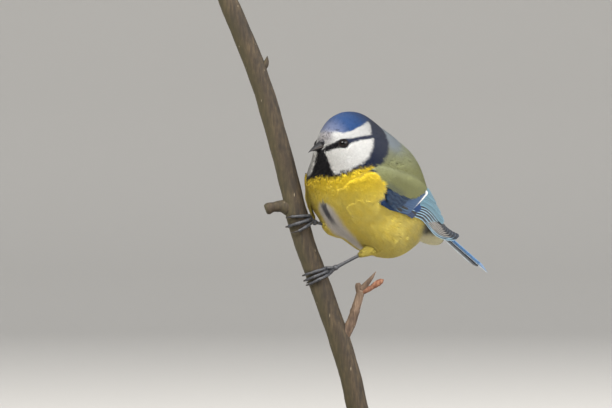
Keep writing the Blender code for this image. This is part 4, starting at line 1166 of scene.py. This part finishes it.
def wing_plate(side_mirror):
    """The shoulder under the coverts: a low pad that the coverts lie on."""
    s = np.linspace(0.5, 30.0, 30)
    v = np.linspace(0.0, 1.0, 20)
    low = np.interp(s, (1.0, 4.0, 9.0, 16.0, 24.0, 34.0), (-4.0, -5.2, -6.3, -6.9, -6.2, -4.2))
    high = np.interp(s, (1.0, 4.0, 10.0, 18.0, 26.0, 34.0), (-0.5, 2.0, 4.4, 5.6, 4.6, 2.8))
    ss, vv = np.meshgrid(s, v, indexing="ij")
    chart = np.stack([ss.ravel(), (low[:, None] + (high - low)[:, None] * v).ravel()], axis=1)
    ends = np.minimum(1.0, ss / 5.0) * np.minimum(1.0, (31.0 - ss) / 10.0)
    rise = 1.35 * np.sin(np.pi * np.clip(vv, 0, 1)) ** 0.5 * np.clip(ends, 0.0, 1.0)
    top = on_wing(chart, 0.35 + rise.ravel())
    under = on_wing(chart, np.full(len(chart), 0.25))
    return from_body(np.vstack([top, under]) * side_mirror), plate_faces(ss.shape)


def make_wing(side):
    word = "left" if side > 0 else "right"
    mirror = np.array([1.0, side, 1.0])
    vanes = Vanes()
    for root, tip, half, lift, tilt, web, edge, end, edge_width, tip_width in WING_ROWS:
        place = blade_place(root, tip, lift, tilt)
        blunt = min(0.4, 1.6 * half / math.dist(root, tip))
        vanes.add(lambda across, share, above: from_body(place(across, share, above) * mirror), half, blunt,
                  web, edge, end, edge_width, tip_width)
    feathers = vanes.piece(f"wing_{word}_feathers", VANE_FINISH)
    points, faces = wing_plate(mirror)
    pad = own_piece(f"wing_{word}_pad", mesh_from("wing_pad", points, faces), COAT_FINISH)
    set_colours(pad.data, np.tile(PAD_BLUE, (len(points), 1)))
    set_bake_map(pad.data, body_unwrap(points))
    for piece in (feathers, pad):
        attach(piece, "root")
    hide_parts(f"wing_{word}")


WING_ROWS = wing_tiers()
make_wing(1.0)
make_wing(-1.0)

# The tail: twelve narrow feathers laid like a roof with the middle pair on top. They are bright blue with
# dark inner webs, and the outermost on each side has a white outer edge.

TAIL_LENGTH = 48.35
TAIL_PAIRS = 6
TAIL_ROLL = 0.34
TAIL_ROOF_SLOPE = 0.18
TAIL_START = 9.0
# The fifth pair is nearly black with a thin dark blue edge: partly its dark inner web and partly painted
# shade, for the dark line between the bright blue feathers above and the white outer edge below.
TAIL_TONES = ((TAIL_BLUE, TAIL_BLUE, 0.5), (SMOKE_BLUE, TAIL_BLUE, 0.62), (SMOKE_BLUE, TAIL_BLUE, 0.62),
              (SMOKE_BLUE, TAIL_BLUE, 0.5), (VANE_BLACK, (0.10, 0.20, 0.33), 0.16),
              (SMOKE_BLUE, TAIL_WHITE, 0.42))


def tail_place(pair, side):
    """A function for places on one tail feather, in the part's frame."""
    way = np.array([-math.cos(TAIL_FALL), 0.0, -math.sin(TAIL_FALL)])
    up = np.array([way[2], 0.0, -way[0]])
    tip = TAIL_LENGTH - 2.2 + 0.45 * pair - (1.6 if pair == TAIL_PAIRS - 1 else 0.0)

    def place(across, share, above):
        d = TAIL_START + (tip - TAIL_START) * share
        c = 1.0 + pair * (0.30 + 0.42 * share) - across
        lift = 1.25 + above - 0.26 * pair - np.abs(c) * TAIL_ROOF_SLOPE - side * c * TAIL_ROLL
        spread = way * d[:, None] + np.array([0.0, 1.0, 0.0]) * (side * c)[:, None] + up * lift[:, None]
        return from_body(TAIL_ROOT + spread)

    return place


def make_tail():
    vanes = Vanes()
    for pair in reversed(range(TAIL_PAIRS)):
        for side in (1.0, -1.0):
            web, edge, width = TAIL_TONES[pair]
            vanes.add(tail_place(pair, side), 2.1, 0.055, web, edge, SMOKE_BLUE, width, 0.012, steps=22)
    tail = vanes.piece("tail_feathers", VANE_FINISH)
    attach(tail, "root")
    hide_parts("tail")


make_tail()

# Scapulars, small coverts and side feathers over the wing, and the long coverts round the tail's root. They
# are grown like the coat but higher, so that the wing's shoulder is tucked under them as in a live bird.

WING_COVER = ((-6.0, 2.0, 6.0, 11.5, 16.0, 19.0, 23.5, 24.5, 30.0),
              (-0.8, -1.8, -2.8, -3.5, -3.2, -1.8, 1.5, 3.2, 6.5))


def wing_chart(points):
    """Distances along, across and out from the wing for points of the part, the same on both sides."""
    q = to_body(points)
    q = np.stack([q[:, 0], np.abs(q[:, 1]), q[:, 2]], axis=1) - WRIST
    return q @ WING_ALONG, q @ WING_ACROSS, q @ WING_OUT


def cover_height(points):
    """Height over the coat at which the feathers over the wing lie."""
    s, t, _ = wing_chart(points)
    bed = plumage(points) - wing_bed(points)
    over = smooth_step(t - along(WING_COVER, s), -3.5, 1.0) * smooth_step(s, -6.0, 3.0)
    fall = 1.0 - smooth_step(t, 3.5, 8.5)
    return np.clip(bed, 0.0, 9.0) + 2.7 * over * fall * (1.0 - smooth_step(s, 21.0, 27.0) * 0.25)


def front_line(t):
    """Where the side feathers end over the wing's front edge, along the wing for a place across it."""
    return along(((-8.5, -7.0, -5.5, -1.8, 0.4, 3.0, 6.1), (8.5, 6.8, 5.4, 2.4, 2.6, 0.4, -1.6)), t)


def front_height(points):
    """Height over the coat of the side feathers that overlap the wing's front edge."""
    s, t, _ = wing_chart(points)
    return 2.7 * smooth_step(s - front_line(t), -8.0, -0.5)


def covert_height(points):
    """Height over the coat of the soft small coverts at the wing's bend."""
    s, _, _ = wing_chart(points)
    return np.clip(plumage(points) - wing_bed(points), 0.0, 9.0) + 2.55 - 0.15 * smooth_step(s, 7.0, 12.0)


def on_bend(points, stray):
    """True where the small coverts may end: off the scapulars, the greater coverts and the side feathers."""
    s, t, _ = wing_chart(points)
    over = (t < along(WING_COVER, s) + 0.8) & (t + stray > -7.1 + 0.2 * (8.0 - s))
    return over & (s + stray < 18.4 + t) & (s > front_line(t) - 1.0)


def bend_colour(points):
    """Dark blue, with paler streaks away from the wing's front edge."""
    s, t, _ = wing_chart(points)
    tone = np.tile(BEND_BLUE, (len(points), 1))
    streak = 0.5 + 0.5 * np.sin(t * 5.2 + s * 1.1 + 1.5 * np.sin(s * 1.3))
    return paint(tone, np.array(BEND_STREAK), streak * 0.8 * smooth_step(s, 0.0, 6.0))


def above_cover(points, stray):
    s, t, _ = wing_chart(points)
    return t + stray > along(WING_COVER, s)


def before_wing(points, stray):
    s, t, _ = wing_chart(points)
    return s < front_line(t) + 0.6 + stray * 1.6


def scapular(s, t):
    """Where the feathers over the wing's upper edge are rooted. s and t run along and across the wing."""
    return (s > -4.0) & (s < 22.0) & (t > along(WING_COVER, s + 4.5) + 0.3) & (t < 9.0)


def bend(s, t):
    """Where the small coverts are rooted."""
    return (s > front_line(t) - 1.0) & (s < 16.0) & (t > -8.0) & (t < 0.5)


def flank(s, t):
    """Where the side feathers before the wing are rooted."""
    gap = front_line(t) - s
    return (gap < 10.0) & (gap > 2.6) & (t > -9.5) & (t < 5.5)


def cover(name, side, count, test, seeds, barbs, **habit):
    """Feathers rooted on one side where test holds for the places along and across the wing."""
    def weight(points):
        s, t, out = wing_chart(points)
        return ((bird_side(points) * side > 0) & (out > -14.0) & test(s, t)).astype(float)

    roots = spots_on(SKIN.data, int(count * SHARE), weight, seeds[0] - side)
    grow(name, roots, barbs, seeds[1] - side, body_unwrap, **habit)


def make_covers():
    back = WING_ALONG * 0.9 - np.array([0.0, 0.0, 0.25])
    for side, word in ((1, "left"), (-1, "right")):
        way = (back * (1.0, side, 1.0)) @ BODY_AXES
        cover(f"scapulars_{word}", side, 1700, scapular, (92, 102), 9, length=5.0,
              height=cover_height, raised=0.15, colour=moss_colour, within=above_cover)
        cover(f"bend_coverts_{word}", side, 1000, bend, (112, 116), 7, length=2.6,
              height=covert_height, way=way * 1.5, colour=bend_colour, within=on_bend)
        cover(f"side_feathers_{word}", side, 1050, flank, (96, 106), 9, length=4.2,
              height=front_height, raised=0.3, way=way, ruffle=0.2, within=before_wing)


def moss_colour(tips):
    """The green of the back, greyer above and slaty where it meets the wing."""
    q = to_body(tips)
    tone = paint(np.tile(MOSS, (len(tips), 1)), MOSS_GREY, smooth_step(q[:, 2], 4.0, 18.0))
    s, t, _ = wing_chart(tips)
    slate = smooth_step(2.2 - (t - along(WING_COVER, s)), 0.0, 2.0) * smooth_step(14.0 - s, 0.0, 6.0)
    return paint(tone, MOSS_SLATE, 0.5 * slate)


def make_vent():
    """Long pale coverts under the tail's root and short green ones over it."""
    for name, under, front, seed in (("vent_coverts", True, -14.0, 121), ("rump_coverts", False, -18.0, 122)):

        def test(p):
            ahead, side, up = to_body(p).T
            spine = up - along(((-40.0, -10.0), (-17.0, -4.0)), ahead)
            beyond = (spine < -1.0) if under else (spine > 1.0)
            return ((ahead > -40.0) & (ahead < front) & beyond & (np.abs(side) < 9.0)).astype(float)

        roots = spots_on(SKIN.data, int(700 * SHARE), test, seed)
        grow(name, roots, 9, seed + 10, body_unwrap, length=6.5, raised=0.15, way=TAIL_WAY)


def make_thighs():
    """Soft feathers that hang over the top of the lower shank, lying down along it."""
    draw = np.random.default_rng(140)
    _, joint, heel = FEET["left"]
    joint, heel = np.array(joint), np.array(heel)
    way = unit(heel - joint)
    reach = float(np.linalg.norm(meet(plumage, joint[None], way, 40.0)[0] - joint))
    across = unit(np.cross(way, (0.0, 0.0, 1.0)))
    other = np.cross(way, across)
    count = int(2500 * SHARE)
    run = reach + 3.5 - 7.0 * draw.random(count) ** 0.8
    turn = draw.uniform(0.0, 2 * math.pi, count)
    out = across * np.cos(turn)[:, None] + other * np.sin(turn)[:, None]
    wide = np.interp(run, (reach - 4.0, reach - 1.5, reach + 3.5), (0.95, 1.6, 2.8))
    wide = wide * draw.uniform(0.8, 1.1, count)
    length = np.interp(run, (reach - 4.0, reach), (1.6, 3.4)) * draw.uniform(0.8, 1.2, count)
    base = joint + way * run[:, None] + out * (wide * 0.8)[:, None]
    middle = joint + way * (run - length * 0.5)[:, None] + out * (wide * 0.98)[:, None]
    tip = joint + way * (run - length)[:, None] + out * (wide * 0.7)[:, None]
    tint = markings(base + way * 3.0) * 0.8
    bundle("thigh_feathers", base, middle, tip, out, length, tint, body_unwrap(base), draw)


make_covers()
make_vent()

# The eyes: glossy dark balls with a brown iris and a black pupil, each in a thin ring of bare dark lid.

EYE_TONES = ((0.0, 0.78, 0.80, 0.86, 1.0),
             ((0.004, 0.002, 0.002), (0.011, 0.005, 0.003), (0.008, 0.004, 0.003), (0.001, 0.001, 0.001),
              (0.001, 0.001, 0.001)))
LID_RADIUS = 1.8
LID_THICKNESS = 0.27


def make_eyes():
    finish, tree, shader = new_material("eye_gloss", 0.12, Coat_Weight=0.45, Coat_Roughness=0.01,
                                        Coat_IOR=1.3, Specular_IOR_Level=0.1)
    fleck = ramp(tree, noise_at(tree, object_place(tree), 3500.0, 3.0), ((0.3, 0.6), (0.7, (1.3, 1.2, 1.1))))
    connect(tree, shader, Base_Color=mixed(tree, 1.0, painted(tree, "Col"), fleck, "MULTIPLY"))
    lid_finish, tree, shader = new_material("eyelid_skin", 0.85, Specular_IOR_Level=0.15)
    grains = node(tree, "TexVoronoi", Vector=object_place(tree), Scale=4200.0).outputs["Distance"]
    tones = ramp(tree, grains, ((0.1, (0.022, 0.022, 0.025)), (0.6, (0.006, 0.006, 0.007))))
    connect(tree, shader, Base_Color=tones, Normal=bumped(tree, grains, 0.4, 0.00005))
    for (seat, out), word in zip(EYES, ("left", "right")):
        bm = bmesh.new()
        bmesh.ops.create_uvsphere(bm, u_segments=48, v_segments=32, radius=EYE_RADIUS * MM)
        turn = Vector(out).to_track_quat("Z", "Y").to_matrix().to_4x4()
        pole = np.array([v.co.z for v in bm.verts]) / (EYE_RADIUS * MM)
        bmesh.ops.transform(bm, matrix=Matrix.Translation(metres(seat)) @ turn, verts=bm.verts)
        ball = own_piece("eyeball_" + word, mesh_of(bm, "eyeball"), finish)
        set_colours(ball.data, np.stack([np.interp(pole, EYE_TONES[0], tone) for tone in zip(*EYE_TONES[1])],
                                        axis=1))
        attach(ball, "root")
        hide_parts("eye_" + word)
        spoke, other = np.array(turn.to_3x3().col[0]), np.array(turn.to_3x3().col[1])
        at = seat + out * (EYE_SINK + 0.10)
        rings = []
        for k, a in enumerate(np.linspace(0.0, 2 * math.pi, 49)[:-1]):
            p = at + spoke * LID_RADIUS * math.cos(a) * 1.04 + other * LID_RADIUS * math.sin(a) * 0.94
            size = LID_THICKNESS * (1.0 + 0.06 * math.sin(k * 2.6))
            rings.append([p + unit(p - at) * size * math.cos(b) + out * size * 0.8 * math.sin(b)
                          for b in np.linspace(0.0, 2 * math.pi, 13)[:-1]])
        bm = bmesh.new()
        join_rings(bm, rings, closed=True)
        lid = own_piece("eyelid_" + word, mesh_of(bm, "eyelid"), lid_finish)
        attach(lid, "root")


make_eyes()

# The bill: short, stout and pointed, with a curved ridge. Both halves are black horn, paler along the cutting
# edges, and the nostrils lie half hidden under short bristles at the base.

BILL_LENGTH = 9.2
BILL_WIDTH = 4.0
UPPER_DEPTH = 2.15
LOWER_DEPTH = 1.5


def bill_axes():
    """Rows are the bill's forward, left and up."""
    a = math.radians(BILL_PITCH)
    forward = np.array([math.cos(a), 0.0, math.sin(a)])
    up = np.array([-math.sin(a), 0.0, math.cos(a)])
    return np.array([forward, (0.0, 1.0, 0.0), up]) @ HEAD_AXES


def horn_finish(name, dark, pale):
    """Horn, from a dark tone to a pale one as painted on the mesh, with a fine grain."""
    finish, tree, shader = new_material(name, 0.48, Specular_IOR_Level=0.3)
    grain = noise_at(tree, object_place(tree), 1500.0, 5.0)
    colour = mixed(tree, painted(tree, "Col", "Fac"), (*dark, 1.0), (*pale, 1.0))
    colour = mixed(tree, 1.0, colour, ramp(tree, grain, ((0.3, 0.65), (0.7, 1.25))), "MULTIPLY")
    connect(tree, shader, Base_Color=colour, Normal=bumped(tree, grain, 0.2, 0.00008))
    return finish


def bill_size(t, depth):
    """Half the width of a half of the bill and its height, for a share of its length from the base."""
    return BILL_WIDTH / 2 * (1.0 - t) ** 0.85 + 0.12, depth * ((1.0 - t**1.6) * 0.94 + 0.06)


def make_bill():
    finish = horn_finish("bill_horn", (0.008, 0.0075, 0.008), (0.12, 0.10, 0.09))
    turn = bill_axes()
    for upper in (True, False):
        sign, depth, length = (1.0, UPPER_DEPTH, 1.0) if upper else (-1.0, LOWER_DEPTH, 0.93)
        rows, shares = [], []
        for t in np.linspace(0.0, 1.0, 44):
            width, height = bill_size(t, depth)
            droop = -0.75 * t**2.2 if upper else -0.25 * t**2
            seam = 0.1 * sign + droop
            ring = []
            for a in np.linspace(0.0, math.pi, 23):
                ring.append((t * BILL_LENGTH * length, width * math.cos(a) * (1.0 - 0.12 * math.sin(a)),
                             seam + sign * height * math.sin(a) ** 0.85))
                shares.append(0.75 * max(0.0, 1.0 - math.sin(a) / 0.28))
            for b in np.linspace(-0.8, 0.8, 5):
                ring.append((t * BILL_LENGTH * length, width * b, seam + sign * 0.05))
                shares.append(0.4)
            rows.append([BILL_ROOT + np.array(p) @ turn for p in ring])
        bm = bmesh.new()
        grid = join_rings(bm, rows)
        bm.faces.new(grid[0])
        bm.faces.new(grid[-1])
        if upper:
            for vert in bm.verts:
                p = (np.array(vert.co) / MM - BILL_ROOT) @ turn.T
                pit = math.exp(-((p[0] - 2.3) / 0.62) ** 2 - ((p[2] - 1.15) / 0.32) ** 2)
                vert.co -= Vector(turn[1] * math.copysign(0.3 * pit * MM, p[1]))
        name = "bill_upper" if upper else "bill_lower"
        piece = own_piece(name + "_horn", mesh_of(bm, name), finish)
        set_colours(piece.data, np.tile(np.array(shares)[:, None], (1, 3)))
        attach(piece, "root")
        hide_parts(name)


def make_bristles():
    """Short feathers and bristles that lie forward over the base of the bill and hide its nostrils."""
    draw = np.random.default_rng(160)
    turn = bill_axes()
    count = int(900 * SHARE)
    angle = draw.uniform(-0.95, math.pi + 0.95, count)
    start = draw.uniform(-0.8, 1.5, count)
    length = draw.uniform(1.0, 1.9, count)

    def on_bill(run, above):
        t = np.clip(run / BILL_LENGTH, 0.0, 1.0)
        width, deep = bill_size(t, np.where(np.sin(angle) > 0, UPPER_DEPTH, LOWER_DEPTH))
        place = np.stack([run, (width + above) * np.cos(angle), (deep + above) * np.sin(angle)], axis=1)
        return BILL_ROOT + place @ turn

    base = on_bill(start, 0.10)
    middle = on_bill(start + length * 0.5, 0.28)
    tip = on_bill(start + length, 0.14)
    up = np.stack([np.zeros(count), np.cos(angle), np.sin(angle)], axis=1) @ turn
    pale = (np.sin(angle) > 0.72) & (draw.random(count) < 0.55)
    tint = np.where(pale[:, None], GREY_WHITE * 0.8, INK * 1.3)
    bundle("bill_bristles", base, middle, tip, up, length, tint, head_unwrap(base), draw, 0.75)


make_bill()
make_bristles()

# The legs and feet: slate-grey scales, overlapping plates down the front of the shank and over the toes, soft
# pads under the toes where they close round the twig, and curved dark claws.

# For each foot: its height on the twig, the joint of the toes, and a point up the shank.
FEET = {"left": (80.0, (-3.9, -9.0, 83.2), (8.4, -8.0, 89.6)),
        "right": (101.6, (-12.4, -6.0, 101.6), (3.0, 0.0, 98.6))}
# For each toe: angles round the twig and shifts along it at root and tip, and its size.
TOES = {"left": ((25, 140, 1.4, 1.9, 0.95), (18, 150, 0.1, -0.3, 1.0), (25, 138, -1.3, -2.3, 0.95),
                 (-25, -112, -1.2, -1.6, 1.08)),
        "right": ((22, 118, 1.5, 3.0, 0.95), (16, 148, 0.2, -0.6, 1.0), (20, 100, -1.2, -3.4, 0.95),
                  (-25, -112, -0.6, -1.0, 1.08))}
SHANK_RADIUS = 0.72
TOE_RADIUS = 0.68
CLAW_LENGTH = 4.2


def round_branch(side, angle, shift, clear):
    """A point beside the twig: angle from its right side towards the viewer, shift up along it."""
    centre, down, right = branch_at(FEET[side][0])
    a = math.radians(angle)
    reach = branch_radius(centre[2]) + clear
    return centre - down * shift + (right * math.cos(a) + np.array([0.0, -1.0, 0.0]) * math.sin(a)) * reach


def scale_finish():
    """Leg scales: a cloudy slate grey with small raised cells."""
    finish, tree, shader = new_material("leg_scales", 0.5)
    place = object_place(tree)
    tones = ramp(tree, noise_at(tree, place, 1400.0, 4.0),
                 ((0.3, (0.014, 0.015, 0.018)), (0.55, (0.036, 0.038, 0.045)), (0.75, (0.085, 0.08, 0.075))))
    cells = node(tree, "TexVoronoi", Vector=place, Scale=2300.0).outputs["Distance"]
    connect(tree, shader, Base_Color=tones, Normal=bumped(tree, cells, 0.35, 0.00008))
    return finish


def make_legs():
    scales = scale_finish()
    claw_finish = horn_finish("claw_horn", (0.020, 0.018, 0.018), (0.10, 0.085, 0.07))
    for side, (height, joint, heel) in FEET.items():
        joint, heel = np.array(joint), np.array(heel)
        way = unit(heel - joint)
        top = meet(plumage, joint[None], way, 40.0)[0] + way * 1.6
        line = joint + (top - joint) * np.linspace(0.0, 1.0, 60)[:, None]
        share = np.linspace(0.0, 1.0, 60)
        radii = SHANK_RADIUS * np.interp(share, (0.0, 0.1, 0.25, 0.5, 0.8, 1.0),
                                         (1.35, 1.05, 0.92, 0.88, 0.95, 1.1))

        def plates(points, outward, joint=joint, way=way):
            run = (points - joint) @ way
            step = (run / 1.15) % 1.0
            return 0.07 * (step - 0.5) + 0.02 * np.sin(run * 9.0)

        shank = own_piece(f"shank_{side}_scaled", swept("shank", line, radii, 20, plates), scales)
        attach(shank, "root")
        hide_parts("shank_" + side)
        foot = bmesh.new()
        bmesh.ops.create_uvsphere(foot, u_segments=20, v_segments=14, radius=1.2 * MM)
        bmesh.ops.translate(foot, vec=metres(joint), verts=foot.verts)
        for toe, (start, end, shift_in, shift_out, size) in enumerate(TOES[side]):
            clear = TOE_RADIUS * 1.18 * size + 0.12
            turns = zip(np.linspace(start, end, 7), np.linspace(shift_in, shift_out, 7))
            wrap = [round_branch(side, angle, shift, clear) for angle, shift in turns]
            line = smooth_line([joint, joint * 0.5 + wrap[0] * 0.5, *wrap], 8)
            run = np.concatenate([[0.0], np.cumsum(np.linalg.norm(np.diff(line, axis=0), axis=1))])
            share = run / run[-1]
            pads = 1.0 + 0.10 * np.cos(share * 3 * 2 * math.pi) + 0.05 * ((run / 0.95) % 1.0 - 0.5)
            radii = 1.18 * TOE_RADIUS * size * pads * (1.0 - 0.28 * share)
            radii[-1] *= 0.55
            made = swept("toe", line, radii, 16)
            foot.from_mesh(made)
            bpy.data.meshes.remove(made)
            turn = math.copysign(1.0, end - start)
            base = TOE_RADIUS * size * 0.62
            length = CLAW_LENGTH * (1.25 if toe == 3 else 1.0)
            sweep = math.degrees(length / (branch_radius(height) + base))
            t = np.linspace(0.0, 1.0, 16)
            rise = base + 0.3 + 0.62 * np.sin(np.pi * np.minimum(t * 1.1, 1.0)) - 0.42 * base * t
            arc = [round_branch(side, end + turn * (sweep * x - 3.0), shift_out, high)
                   for x, high in zip(t, rise)]
            made = swept("claw", arc, base * (1.0 - t) ** 0.75 + 0.05, 14)
            claw = own_piece(f"claw_{side}_{toe + 1}_horn", made, claw_finish)
            set_colours(claw.data, np.full((len(claw.data.vertices), 3), 0.15))
            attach(claw, "root")
            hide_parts(f"claw_{side}_{toe + 1}")
        piece = own_piece(f"foot_{side}_scaled", mesh_of(foot, "foot"), scales)
        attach(piece, "root")
        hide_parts("foot_" + side)


make_legs()
make_thighs()
